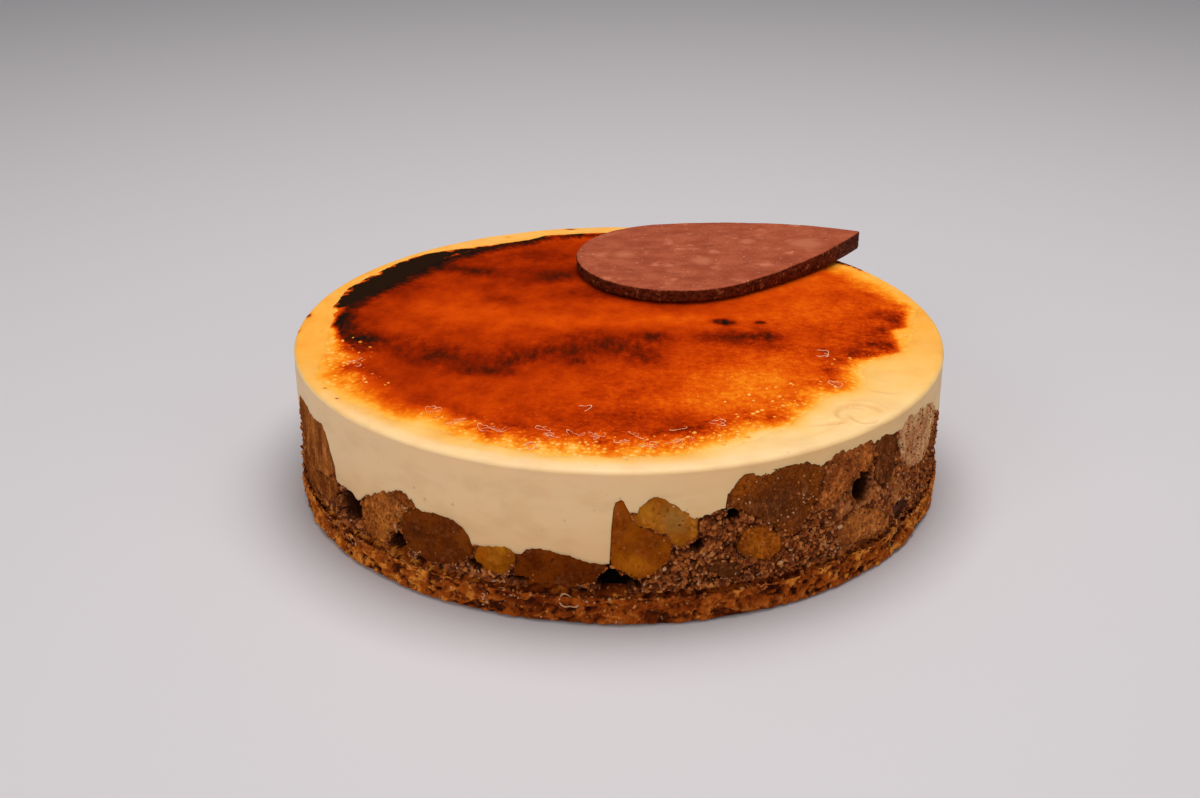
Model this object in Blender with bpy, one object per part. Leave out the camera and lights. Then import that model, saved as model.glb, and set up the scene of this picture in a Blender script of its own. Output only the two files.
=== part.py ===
"""A tarte tatin built in a pastry ring: biscuit base, apple and crumb filling, vanilla cream,
burnt caramel top and a flat praline plaque.

Metres, +Z up. The origin is the centre of the underside, which rests on z = 0. Azimuths run
from +X towards +Y, so the side seen in front is at 270 degrees. Pieces of apple are drawn as
their outlines on the unrolled wall, in degrees round it and millimetres above the table.
"""
import math

import bmesh
import bpy
from mathutils import Vector, geometry, noise

MM = 0.001

# Driving dimensions
RING_RADIUS = 100 * MM          # inside of the pastry ring that formed the cake
CREAM_TOP = 46.6 * MM
RIM_ROUNDING = 3.4 * MM
BASE_RADIUS = 101 * MM          # the biscuit spreads a little past the ring
BASE_HEIGHT = 9.6 * MM
FILLING_HEIGHT = 26 * MM        # in the middle, under the cream
CARAMEL_RADIUS = 91 * MM
CARAMEL_THICKNESS = 0.5 * MM
PLAQUE_THICKNESS = 4.6 * MM     # at its round end
PLAQUE_TIP_THICKNESS = 6.6 * MM
GAP = 0.3 * MM                  # kept between pieces that touch
SEGMENTS = 60                   # round the cake

# Height of the crumb filling at the wall, between the pieces of apple: (azimuth, millimetres)
FILLING_CREST = (
    (0, 22), (17, 29), (33, 25), (50, 19), (66, 32), (83, 20), (98, 27), (114, 18), (131, 33),
    (146, 20), (161, 25), (180, 30), (206, 30), (213, 24), (219, 21.6), (224, 22), (229, 27),
    (234, 29), (238, 25), (244, 23), (247.5, 20), (262, 19.5), (268.5, 18), (272, 22), (277, 27),
    (283, 32.2), (285.5, 30.5), (287.5, 34), (291, 40.5), (304, 41), (321, 41.5), (332, 39),
    (342, 33), (350, 27),
)
CREST_DEPTH = 20 * MM           # how far in from the wall the crest fades out

# Apple pieces in the wall: name, depth into the cake in millimetres, colour, outline
APPLE_PIECES = (
    ("apple_slice_streaky", 10, (0.21, 0.065, 0.014),
     ((195.5, 36), (203, 38), (208, 37), (213, 39), (215, 30), (217, 24.5), (207.5, 18.7), (196, 20))),
    ("apple_piece_left_low", 12, (0.15, 0.045, 0.012),
     ((196.5, 19.4), (207.5, 18), (216.8, 23.8), (216, 18), (209.5, 11), (197, 11))),
    ("apple_piece_rough", 12, (0.20, 0.07, 0.02),
     ((224, 21.5), (228, 27.5), (233, 31), (236, 30), (237, 28), (234, 24.5), (233, 21),
      (232.6, 17.5), (229, 11), (225, 11), (223.5, 15))),
    ("apple_chunk_brown", 15, (0.095, 0.022, 0.004),
     ((234.7, 24.2), (237.6, 27), (241.5, 27.4), (243.7, 27.4), (246, 25), (247.4, 21), (246.2, 15.5),
      (242.7, 12.3), (236.4, 11), (234, 14.5), (233.4, 18), (233.8, 21.5))),
    ("apple_chunk_golden_small", 9, (0.275, 0.09, 0.006),
     ((247.3, 16.8), (248.2, 20.8), (250.7, 21.7), (253.5, 21.7), (254.3, 20.6), (253.6, 15.6),
      (251.3, 12.8), (249.8, 12.8), (247.6, 15))),
    ("apple_slice_flat", 14, (0.065, 0.013, 0.002),
     ((254.8, 20.4), (256, 22.8), (260, 22.2), (263.5, 21.2), (265.5, 19.6), (268, 19.5), (267.8, 16.5),
      (265.8, 13.3), (262.2, 11.2), (258, 11), (255.2, 11.5), (254.2, 13.5))),
    ("apple_chunk_orange_tall", 14, (0.17, 0.04, 0.002),
     ((269, 37.5), (270.9, 39.3), (272, 35.2), (272.6, 29.6), (276.2, 28), (278.4, 23.6), (277.1, 19.2),
      (276, 16.3), (273.6, 14.5), (271.3, 15.2), (268.8, 21), (268.8, 28))),
    ("apple_chunk_pale", 12, (0.24, 0.10, 0.02),
     ((272.4, 35.5), (274.9, 39.8), (276.8, 39), (280.5, 34.2), (282.6, 30.8), (282.3, 26.4),
      (280.9, 23.9), (278.9, 24.3), (276.6, 28.4), (273, 30))),
    ("apple_piece_orange_low", 9, (0.17, 0.035, 0.003),
     ((289.4, 25.6), (292.2, 27), (295.4, 23.4), (296.6, 20.6), (296, 16.3), (291.9, 16.5), (289.1, 19.3))),
    ("apple_piece_dark_low", 7, (0.075, 0.02, 0.006),
     ((284, 15.6), (285.8, 18), (289, 16.6), (288.9, 12.9), (286.3, 12.2))),
    ("apple_mass_dark", 14, (0.07, 0.02, 0.006),
     ((286.2, 37), (287.6, 41), (289.8, 43.6), (294, 43.2), (300, 43.3), (303.8, 42.5), (303.8, 38),
      (303.2, 32), (301, 26), (298.8, 21.3), (296.2, 24.7), (292.5, 28), (289.8, 32), (287.6, 34.2))),
    ("apple_mass_brown", 13, (0.125, 0.03, 0.005),
     ((305, 42.3), (306.5, 43.8), (310, 44), (312.7, 44.2), (315.2, 41.7), (315, 35), (313.5, 33),
      (311, 32.6), (309.6, 29.5), (305.6, 27), (302, 26), (304, 32), (304.5, 38))),
    ("apple_slice_upright", 10, (0.10, 0.025, 0.006),
     ((315.9, 41.3), (317.5, 43), (321.4, 40), (321.8, 32.5), (321, 25.8), (318.8, 25.2), (316.2, 28.5),
      (315.9, 34))),
    ("apple_piece_light_low", 12, (0.23, 0.065, 0.014),
     ((307.5, 14.5), (309.7, 22), (315.4, 20.8), (320.2, 15.5), (321.5, 11), (316, 11), (310, 11.4))),
    ("apple_slice_pale_streaky", 10, (0.30, 0.14, 0.06),
     ((322.6, 40), (323.7, 43.4), (331.8, 42), (339, 38), (342, 30), (336.5, 22.5), (327.4, 24),
      (323, 33))),
    ("apple_piece_purple_small", 6, (0.05, 0.018, 0.015),
     ((322.6, 15.6), (325.6, 16.2), (328.6, 13.2), (327, 11), (322.8, 11))),
)

# Pieces round the back, each shaped like a mirrored piece of the front: azimuth and width in
# degrees, lowest and highest millimetre, the piece it is shaped like
BACK_PIECES = (
    (350, 9, 11, 31, "apple_chunk_orange_tall"),
    (2, 13, 11, 22, "apple_slice_flat"),
    (17, 12, 13, 33, "apple_chunk_pale"),
    (33.5, 14, 11, 28, "apple_chunk_brown"),
    (50, 13, 11, 22, "apple_piece_light_low"),
    (66.5, 15, 14, 37, "apple_mass_dark"),
    (83, 9, 12, 22, "apple_chunk_golden_small"),
    (98, 14, 11, 31, "apple_piece_rough"),
    (114, 13, 11, 21, "apple_slice_flat"),
    (131, 14, 14, 38, "apple_mass_brown"),
    (146.5, 9, 12, 22, "apple_piece_orange_low"),
    (161, 14, 11, 29, "apple_chunk_brown"),
    (180, 11, 12, 34, "apple_slice_upright"),
)

# Dark hollows between the pieces: depth in millimetres, outline
HOLLOWS = (
    (6, ((216.9, 15), (218, 20.4), (222.6, 20.6), (222.8, 15.5), (220, 13.2))),
    (6, ((232.4, 16.4), (233.2, 14.5), (235.2, 11), (229.9, 11))),
    (7, ((268.2, 18.8), (270.4, 15.2), (273.2, 13.8), (273.6, 11.3), (265.8, 11.3), (267.4, 15))),
    (6, ((280.9, 23), (282.8, 26), (283.3, 23.6), (281.2, 21))),
    (6, ((286.3, 29.7), (287, 32.4), (289, 32.2), (289.2, 29))),
    (7, ((311.2, 31.8), (315, 32.3), (315.3, 28.5), (315, 24.4), (311.2, 25.9), (310.6, 29))),
)
BACK_HOLLOWS = ((9.6, 17), (90, 17), (122.4, 17), (171.3, 16))   # azimuth, millimetres up
BACK_HOLLOW_DEPTH = 6

# Bays where the caramel stops short of the rim: azimuth, half width in degrees, depth
CARAMEL_BAYS = ((316, 15, 15.5 * MM), (340, 8, 11.5 * MM), (240, 9, 0.8 * MM), (128, 8, 3 * MM))

# Praline plaque: a disc drawn out to a point on one side
PLAQUE_CENTRE = Vector((19.4 * MM, 51.9 * MM, 0))
PLAQUE_RADIUS = 34 * MM
PLAQUE_TIP_DISTANCE = 69.2 * MM
PLAQUE_HEADING = math.radians(19.75)
PLAQUE_TANGENT = math.radians(73)   # where the sides leave the disc, from the heading


def start_empty_scene():
    for old in list(bpy.data.objects):
        bpy.data.objects.remove(old)


def food_material(name, colour, roughness, coat=0.0):
    material = bpy.data.materials.new(name)
    material.use_nodes = True
    shader = material.node_tree.nodes["Principled BSDF"]
    shader.inputs["Base Color"].default_value = (*colour, 1)
    shader.inputs["Roughness"].default_value = roughness
    shader.inputs["Metallic"].default_value = 0
    shader.inputs["Coat Weight"].default_value = coat
    return material


def add_object(name, mesh_builder, material):
    """Turn a closed bmesh into a named object with its material."""
    bmesh.ops.recalc_face_normals(mesh_builder, faces=mesh_builder.faces)
    mesh = bpy.data.meshes.new(name)
    mesh_builder.to_mesh(mesh)
    mesh_builder.free()
    mesh.materials.append(material)
    mesh.shade_smooth()
    mesh.set_sharp_from_angle(angle=math.radians(40))
    piece = bpy.data.objects.new(name, mesh)
    bpy.context.scene.collection.objects.link(piece)
    return piece


def on_wall(azimuth, radius, height):
    return Vector((radius * math.cos(azimuth), radius * math.sin(azimuth), height))


def crags(azimuth, height, size, seed):
    """Smooth noise between -1 and 1 on the wall, with bumps of the given size."""
    place = on_wall(azimuth, RING_RADIUS, height) / size
    return 2 * noise.noise(place + Vector((seed, 0, 0)))


def smooth_step(x):
    x = min(max(x, 0), 1)
    return x * x * (3 - 2 * x)


def wall_radius(height):
    """Outer radius of the formed cake: straight, then rounded over at the rim."""
    over = height - (CREAM_TOP - RIM_ROUNDING)
    if over <= 0:
        return RING_RADIUS
    over = min(over, RIM_ROUNDING)
    return RING_RADIUS - RIM_ROUNDING + math.sqrt(RIM_ROUNDING ** 2 - over ** 2)


def base_top(azimuth, radius):
    lip = 0.7 * MM * crags(azimuth, 0, 9 * MM, 3)
    return BASE_HEIGHT + lip * smooth_step((radius - 88 * MM) / (8 * MM))


def filling_crest(azimuth):
    """Height of the filling at the wall, read between the two nearest points of the crest."""
    degrees = math.degrees(azimuth) % 360
    for start, end in zip(FILLING_CREST, FILLING_CREST[1:] + ((360, FILLING_CREST[0][1]),)):
        if degrees <= end[0]:
            part = (degrees - start[0]) / (end[0] - start[0])
            return MM * (start[1] + (end[1] - start[1]) * smooth_step(part))
    return MM * FILLING_CREST[0][1]


def filling_top(azimuth, radius):
    share = smooth_step(1 - (RING_RADIUS - radius) / CREST_DEPTH)
    return FILLING_HEIGHT + (filling_crest(azimuth) - FILLING_HEIGHT) * share


def turned_solid(name, profile, material):
    """Closed solid from a profile of (radius, height) that may change with the azimuth.

    The profile runs from the axis at the bottom, out and up, and back to the axis on top. Every
    face is split from its inner corner to the next outer one, so that two solids that meet on
    the same surface are split alike.
    """
    builder = bmesh.new()
    columns = []
    bottom, top = None, None
    for i in range(SEGMENTS):
        azimuth = math.tau * i / SEGMENTS
        points = profile(azimuth)
        if bottom is None:
            bottom = builder.verts.new((0, 0, points[0][1]))
            top = builder.verts.new((0, 0, points[-1][1]))
        columns.append([(r, builder.verts.new(on_wall(azimuth, r, z))) for r, z in points[1:-1]])
    for i in range(SEGMENTS):
        here, there = columns[i], columns[(i + 1) % SEGMENTS]
        builder.faces.new((bottom, there[0][1], here[0][1]))
        builder.faces.new((top, here[-1][1], there[-1][1]))
        for low, high in zip(range(len(here) - 1), range(1, len(here))):
            a, b, c, d = here[low][1], there[low][1], there[high][1], here[high][1]
            if here[high][0] >= here[low][0]:
                builder.faces.new((a, b, c))
                builder.faces.new((a, c, d))
            else:
                builder.faces.new((d, a, b))
                builder.faces.new((d, b, c))
    return add_object(name, builder, material)


INNER_STATIONS = (76 * MM, 87 * MM, 95 * MM)   # radii where meeting surfaces are read


def biscuit_profile(azimuth):
    edge = [(0, 0), (96 * MM, 0)]
    for height, inset in ((0.4, 2.0), (3.2, 0.4), (7.4, 0.7)):
        radius = BASE_RADIUS - inset * MM + 0.4 * MM * crags(azimuth, height * MM, 5 * MM, 11)
        edge.append((radius, height * MM))
    shoulder = base_top(azimuth, RING_RADIUS)
    edge.append((98.4 * MM, shoulder))
    for radius in reversed(INNER_STATIONS):
        edge.append((radius, base_top(azimuth, radius)))
    return edge + [(0, base_top(0, 0))]


def filling_profile(azimuth):
    points = [(0, base_top(0, 0) + GAP)]
    for radius in INNER_STATIONS:
        points.append((radius, base_top(azimuth, radius) + GAP))
    foot = base_top(azimuth, RING_RADIUS) + GAP
    crest = filling_top(azimuth, RING_RADIUS)
    rows = 3
    for row in range(rows + 1):
        height = foot + (crest - foot) * row / rows
        rough = 0.4 * MM * crags(azimuth, height, 4 * MM, 23)
        points.append((98.4 * MM + rough * math.sin(math.pi * row / rows), height))
    for radius in reversed(INNER_STATIONS):
        points.append((radius, filling_top(azimuth, radius)))
    return points + [(0, FILLING_HEIGHT)]


def cream_profile(azimuth):
    points = [(0, FILLING_HEIGHT + GAP)]
    for radius in INNER_STATIONS:
        points.append((radius, filling_top(azimuth, radius) + GAP))
    foot = filling_top(azimuth, RING_RADIUS) + GAP
    shoulder = CREAM_TOP - RIM_ROUNDING
    points.append((98.4 * MM, foot))
    rows = 2
    for row in range(rows + 1):
        height = foot + (shoulder - foot) * row / rows
        points.append((wall_radius(height), height))
    for turn in (30, 60, 90):
        height = shoulder + RIM_ROUNDING * math.sin(math.radians(turn))
        points.append((wall_radius(height), height))
    return points + [(0, CREAM_TOP)]


def caramel_outline(azimuth):
    degrees = math.degrees(azimuth) % 360
    radius = CARAMEL_RADIUS + 1.3 * MM * crags(azimuth, 0, 16 * MM, 31)
    for centre, half_width, depth in CARAMEL_BAYS:
        radius -= depth * math.exp(-((degrees - centre) / half_width) ** 2)
    return radius


def caramel_profile(azimuth):
    radius = caramel_outline(azimuth)
    bottom = CREAM_TOP + GAP
    return [(0, bottom), (radius, bottom), (radius - 1.2 * MM, bottom + CARAMEL_THICKNESS),
            (0, bottom + CARAMEL_THICKNESS)]


def rounded_outline(corners):
    """Cut every corner of an outline at a quarter of its two sides."""
    rounded = []
    for i, (x, y) in enumerate(corners):
        next_x, next_y = corners[(i + 1) % len(corners)]
        rounded.append((0.75 * x + 0.25 * next_x, 0.75 * y + 0.25 * next_y))
        rounded.append((0.25 * x + 0.75 * next_x, 0.25 * y + 0.75 * next_y))
    return rounded


def grown_outline(points, distance):
    """Move an outline out along its own normals; the outline runs clockwise."""
    grown = []
    for i, (x, y) in enumerate(points):
        before, after = points[i - 1], points[(i + 1) % len(points)]
        along = Vector((after[0] - before[0], after[1] - before[1])).normalized()
        grown.append((x - along.y * distance, y + along.x * distance))
    return grown


def wall_outline(corners):
    """The outline in metres along the wall and up, from degrees and millimetres."""
    return [(-math.radians(x) * RING_RADIUS, y * MM) for x, y in corners]


APPLE_CLEARANCE = 0.25 * MM     # a piece of apple stands inside its outline
POCKET_CLEARANCE = 0.1 * MM     # and its pocket outside it
BASE_CLEARANCE = 11 * MM        # lowest point of the apple
UNDERCUT = 11.8 * MM            # a pocket that reaches lower runs out through the underside
UNDERCUT_FOOT = 8 * MM


def undercut_outline(points):
    """Carry the lowest stretch of a pocket's outline straight down, out of the filling."""
    low = [i for i, (_, y) in enumerate(points) if y < UNDERCUT]
    if len(low) < 2:
        return points
    first = next(i for i in low if points[i - 1][1] >= UNDERCUT)
    turned = points[first:] + points[:first]
    stretch = turned[:len(low)]
    start, end = stretch[0], stretch[-1]
    return [start, (start[0], UNDERCUT_FOOT), (end[0], UNDERCUT_FOOT), end] + turned[len(low):]


def plug(name, corners, depth, material, pocket):
    """A piece of apple pressed flat against the ring, or the pocket that it fills."""
    outline = rounded_outline(wall_outline(corners))
    if sum(a[0] * b[1] - b[0] * a[1] for a, b in zip(outline, outline[1:] + outline[:1])) > 0:
        outline.reverse()
    middle_x = sum(x for x, _ in outline) / len(outline)
    middle_y = sum(y for _, y in outline) / len(outline)
    back = depth * MM
    if pocket:
        back += GAP + 2 * POCKET_CLEARANCE
        hole = undercut_outline(grown_outline(outline, POCKET_CLEARANCE))
        rings = [(hole, RING_RADIUS + 3 * MM), (hole, RING_RADIUS - back)]
    else:
        rings = []
        # how far inside the outline, share of its size, depth from the wall
        for inset, share, inward in ((0.6 * MM, 1, 0), (0, 1, 1.2 * MM), (0.3 * MM, 0.85, back)):
            ring = [(middle_x + (x - middle_x) * share,
                     max(middle_y + (y - middle_y) * share, BASE_CLEARANCE))
                    for x, y in grown_outline(outline, -APPLE_CLEARANCE - inset)]
            rings.append((ring, -inward))
    builder = bmesh.new()
    loops = []
    for ring, place in rings:
        loop = []
        for x, y in ring:
            radius = place if pocket else wall_radius(y) - 0.15 * MM + place
            loop.append(builder.verts.new(on_wall(-x / RING_RADIUS, radius, y)))
        loops.append(loop)
    count = len(loops[0])
    for outer, inner in zip(loops, loops[1:]):
        for i in range(count):
            j = (i + 1) % count
            builder.faces.new((outer[i], inner[i], inner[j]))
            builder.faces.new((outer[i], inner[j], outer[j]))
    if pocket:
        for a, b, c in geometry.tessellate_polygon([[Vector((x, y, 0)) for x, y in hole]]):
            builder.faces.new((loops[0][a], loops[0][b], loops[0][c]))
            builder.faces.new((loops[-1][c], loops[-1][b], loops[-1][a]))
    else:
        front = on_wall(-middle_x / RING_RADIUS, RING_RADIUS - 0.1 * MM, middle_y)
        rear = on_wall(-middle_x / RING_RADIUS, RING_RADIUS - 0.15 * MM - back, middle_y)
        for loop, tip in ((loops[0], front), (list(reversed(loops[-1])), rear)):
            centre = builder.verts.new(tip)
            for i in range(count):
                builder.faces.new((centre, loop[i], loop[(i + 1) % count]))
    piece = add_object(name, builder, material)
    if pocket:
        piece.hide_render = True
        piece.display_type = "WIRE"
    return piece


def back_outline(model, azimuth, width, low, high):
    """The outline of a front piece, mirrored and stretched to its place at the back."""
    across = [x for x, _ in model]
    upward = [y for _, y in model]
    return [(azimuth - width * ((x - min(across)) / (max(across) - min(across)) - 0.5),
             low + (high - low) * (y - min(upward)) / (max(upward) - min(upward)))
            for x, y in model]


def hollow_outline(azimuth, height):
    """A narrow upright hollow between two pieces."""
    return [(azimuth - 1, height - 2), (azimuth - 0.3, height + 4), (azimuth + 1, height + 2),
            (azimuth + 0.6, height - 4)]


def cut_pockets(piece, pockets):
    """Cut the pockets out of a layer, then drop any scrap that comes loose."""
    for pocket in pockets:
        cut = piece.modifiers.new(pocket.name, "BOOLEAN")
        cut.operation = "DIFFERENCE"
        cut.solver = "EXACT"
        cut.object = pocket
    graph = bpy.context.evaluated_depsgraph_get()
    builder = bmesh.new()
    builder.from_mesh(piece.evaluated_get(graph).to_mesh())
    piece.modifiers.clear()
    bmesh.ops.triangulate(builder, faces=builder.faces)
    unseen = set(builder.verts)
    bodies = []
    while unseen:
        body, edge_front = set(), [unseen.pop()]
        while edge_front:
            vertex = edge_front.pop()
            body.add(vertex)
            for edge in vertex.link_edges:
                other = edge.other_vert(vertex)
                if other in unseen:
                    unseen.discard(other)
                    edge_front.append(other)
        bodies.append(body)
    bodies.sort(key=len)
    scraps = [vertex for body in bodies[:-1] for vertex in body]
    bmesh.ops.delete(builder, geom=scraps, context="VERTS")
    builder.to_mesh(piece.data)
    builder.free()


def build_plaque(material):
    """The praline plaque: outline by arcs, flat underneath, a little thicker at its point."""
    radius, distance, tangent = PLAQUE_RADIUS, PLAQUE_TIP_DISTANCE, PLAQUE_TANGENT
    side = ((distance ** 2 + radius ** 2 - 2 * distance * radius * math.cos(tangent))
            / (2 * (radius - distance * math.cos(tangent))))
    corner = Vector((math.cos(tangent), math.sin(tangent))) * radius
    arc_centre = corner * (1 - side / radius)
    tip = Vector((distance, 0))
    start = math.atan2(corner.y - arc_centre.y, corner.x - arc_centre.x)
    end = math.atan2(tip.y - arc_centre.y, tip.x - arc_centre.x)
    half = [arc_centre + Vector((math.cos(t), math.sin(t))) * abs(side)
            for t in (end + (start - end) * i / 8 for i in range(9))]
    disc = [Vector((math.cos(t), math.sin(t))) * radius
            for t in (tangent + (math.pi - tangent) * i / 9 for i in range(1, 10))]
    upper = half + disc
    outline = upper + [Vector((p.x, -p.y)) for p in reversed(upper[1:-1])]
    bottom = CREAM_TOP + 2 * GAP + CARAMEL_THICKNESS
    builder = bmesh.new()
    loops = []
    for inset, share in ((0.7 * MM, 0), (0.15 * MM, 0.25), (0, 0.85), (0.45 * MM, 1)):
        loop = []
        for i, point in enumerate(outline):
            thickness = PLAQUE_THICKNESS + ((PLAQUE_TIP_THICKNESS - PLAQUE_THICKNESS)
                                            * smooth_step(point.x / distance))
            rough = 0.3 * MM * noise.noise(Vector((i * 0.9, share * 5, 2))) if share < 1 else 0
            place = point * (1 - (inset + rough) / point.length)
            turned = Vector((place.x * math.cos(PLAQUE_HEADING) - place.y * math.sin(PLAQUE_HEADING),
                             place.x * math.sin(PLAQUE_HEADING) + place.y * math.cos(PLAQUE_HEADING),
                             bottom + thickness * share))
            loop.append(builder.verts.new(PLAQUE_CENTRE + turned))
        loops.append(loop)
    count = len(outline)
    for lower, higher in zip(loops, loops[1:]):
        for i in range(count):
            j = (i + 1) % count
            builder.faces.new((lower[i], lower[j], higher[j], higher[i]))
    builder.faces.new(list(reversed(loops[0])))
    builder.faces.new(loops[-1])
    bmesh.ops.triangulate(builder, faces=builder.faces)
    return add_object("praline_plaque", builder, material)


start_empty_scene()

biscuit = food_material("baked_biscuit", (0.12, 0.03, 0.005), 0.85)
crumble = food_material("apple_crumble", (0.12, 0.034, 0.009), 0.8)
cream = food_material("vanilla_cream", (0.62, 0.40, 0.21), 0.45)
caramel = food_material("burnt_caramel", (0.45, 0.05, 0.002), 0.2, 0.6)
praline = food_material("praline", (0.40, 0.09, 0.042), 0.6)
guide = food_material("guide", (0.5, 0.5, 0.5), 0.5)

base = turned_solid("biscuit_base", biscuit_profile, biscuit)
filling = turned_solid("apple_crumb_filling", filling_profile, crumble)
cream_layer = turned_solid("cream_layer", cream_profile, cream)
turned_solid("caramel_top", caramel_profile, caramel)
build_plaque(praline)

wall_pieces = list(APPLE_PIECES)
front_pieces = {name: (depth, colour, corners) for name, depth, colour, corners in APPLE_PIECES}
for number, (azimuth, width, low, high, like) in enumerate(BACK_PIECES, start=1):
    depth, colour, corners = front_pieces[like]
    outline = back_outline(corners, azimuth, width, low, high)
    wall_pieces.append((f"apple_piece_back_{number:02d}", depth, colour, outline))
hollows = list(HOLLOWS)
for azimuth, height in BACK_HOLLOWS:
    hollows.append((BACK_HOLLOW_DEPTH, hollow_outline(azimuth, height)))

pockets = []
for name, depth, colour, corners in wall_pieces:
    plug(name, corners, depth, food_material(name, colour, 0.4, 0.3), pocket=False)
    pockets.append(plug(f"pocket_{name}", corners, depth, guide, pocket=True))
for number, (depth, corners) in enumerate(hollows, start=1):
    pockets.append(plug(f"hollow_{number:02d}", corners, depth, guide, pocket=True))

cut_pockets(filling, pockets)
cut_pockets(cream_layer, pockets)
for pocket in pockets:
    bpy.data.objects.remove(pocket)
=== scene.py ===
import math

import bpy
import numpy as np
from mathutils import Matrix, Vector, noise
from mathutils.bvhtree import BVHTree
from mathutils.kdtree import KDTree


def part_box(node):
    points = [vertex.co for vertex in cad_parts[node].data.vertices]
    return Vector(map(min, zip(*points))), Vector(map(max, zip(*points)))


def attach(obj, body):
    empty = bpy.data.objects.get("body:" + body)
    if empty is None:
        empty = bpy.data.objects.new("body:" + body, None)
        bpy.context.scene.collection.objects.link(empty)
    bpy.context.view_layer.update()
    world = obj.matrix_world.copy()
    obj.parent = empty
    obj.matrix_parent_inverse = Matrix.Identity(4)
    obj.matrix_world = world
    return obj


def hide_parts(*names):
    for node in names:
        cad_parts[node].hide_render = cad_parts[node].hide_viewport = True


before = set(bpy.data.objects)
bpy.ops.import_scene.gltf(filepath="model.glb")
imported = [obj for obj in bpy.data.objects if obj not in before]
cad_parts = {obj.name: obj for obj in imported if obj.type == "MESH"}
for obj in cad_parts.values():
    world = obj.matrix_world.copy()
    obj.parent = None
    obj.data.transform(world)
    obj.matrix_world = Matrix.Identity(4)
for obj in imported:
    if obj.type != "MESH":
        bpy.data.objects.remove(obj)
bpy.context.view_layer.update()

# The studio: a plain pale floor under one large soft lamp that hangs a little behind the
# cake, with weak fills from the front so that the side of the cake is darker than its top.
CAMERA_PLACE = Vector((0.0, -0.48343, 0.23978))
CAMERA_AIM = Vector((-0.005848, 0.008530, 0.018103))
CAMERA_LENS = 50
SENSOR_WIDTH = 36
NEAREST_SEEN = 0.01
LAMP_AIM = Vector((0, 0, 0.03))
# name, place, size in metres, power in watts
LAMPS = (("lamp_overhead", (0.05, 0.08, 0.90), 0.65, 7.3),
         ("lamp_front_left", (-0.70, -0.90, 0.55), 0.70, 4.35),
         ("lamp_front_right", (0.85, -0.80, 0.50), 0.70, 2.25))
ROOM_COLOUR = (0.80, 0.82, 0.86, 1)
ROOM_STRENGTH = 0.20
TABLE_SIZE = 6
TABLE_COLOUR = (0.62, 0.585, 0.595, 1)
TABLE_ROUGHNESS = 0.6


def aim(thing, target):
    """Turns a camera or a lamp so that it looks at the target."""
    thing.rotation_euler = (target - thing.location).to_track_quat("-Z", "Y").to_euler()


bpy.ops.object.select_all(action="DESELECT")
bpy.ops.object.camera_add(location=CAMERA_PLACE)
camera = bpy.context.object
camera.data.lens = CAMERA_LENS
camera.data.sensor_width = SENSOR_WIDTH
camera.data.clip_start = NEAREST_SEEN
aim(camera, CAMERA_AIM)
bpy.context.scene.camera = camera

for name, place, size, power in LAMPS:
    bpy.ops.object.light_add(type="AREA", location=place)
    lamp = bpy.context.object
    lamp.name = name
    lamp.data.shape = "SQUARE"
    lamp.data.size = size
    lamp.data.energy = power
    aim(lamp, LAMP_AIM)

room = bpy.data.worlds.new("room")
room.use_nodes = True
room_light = room.node_tree.nodes["Background"].inputs
room_light["Color"].default_value = ROOM_COLOUR
room_light["Strength"].default_value = ROOM_STRENGTH
bpy.context.scene.world = room
bpy.context.scene.view_settings.view_transform = "Standard"

bpy.ops.mesh.primitive_plane_add(size=TABLE_SIZE, location=(0, 0, 0))
table = bpy.context.object
table.name = "table_top"
table_finish = bpy.data.materials.new("pale_table")
table_finish.use_nodes = True
table_shader = table_finish.node_tree.nodes["Principled BSDF"].inputs
table_shader["Base Color"].default_value = TABLE_COLOUR
table_shader["Roughness"].default_value = TABLE_ROUGHNESS
table.data.materials.append(table_finish)

# The biscuit base: a round of brown butter biscuit about 10 mm thick, crushed, pressed into the
# ring and baked. It stands a little proud of the filling, and its side is coarse and flaky.

# a millimetre in metres: sizes that aren't multiplied by it are in mm
MM = 0.001
DOWN = Vector((0, 0, -1))
# rays at the wall start this far out
OUTSIDE = 105 * MM
BASE_COLUMNS = 1440
BASE_ROWS = 22
BASE_WALL = 100.5
BASE_LEDGE = 10.15
BASE_LIMIT = 100.68
# where the solid's wall and its top are measured
BASE_MIDDLE = 5 * MM
BASE_BRINK = 99.5 * MM


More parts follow.
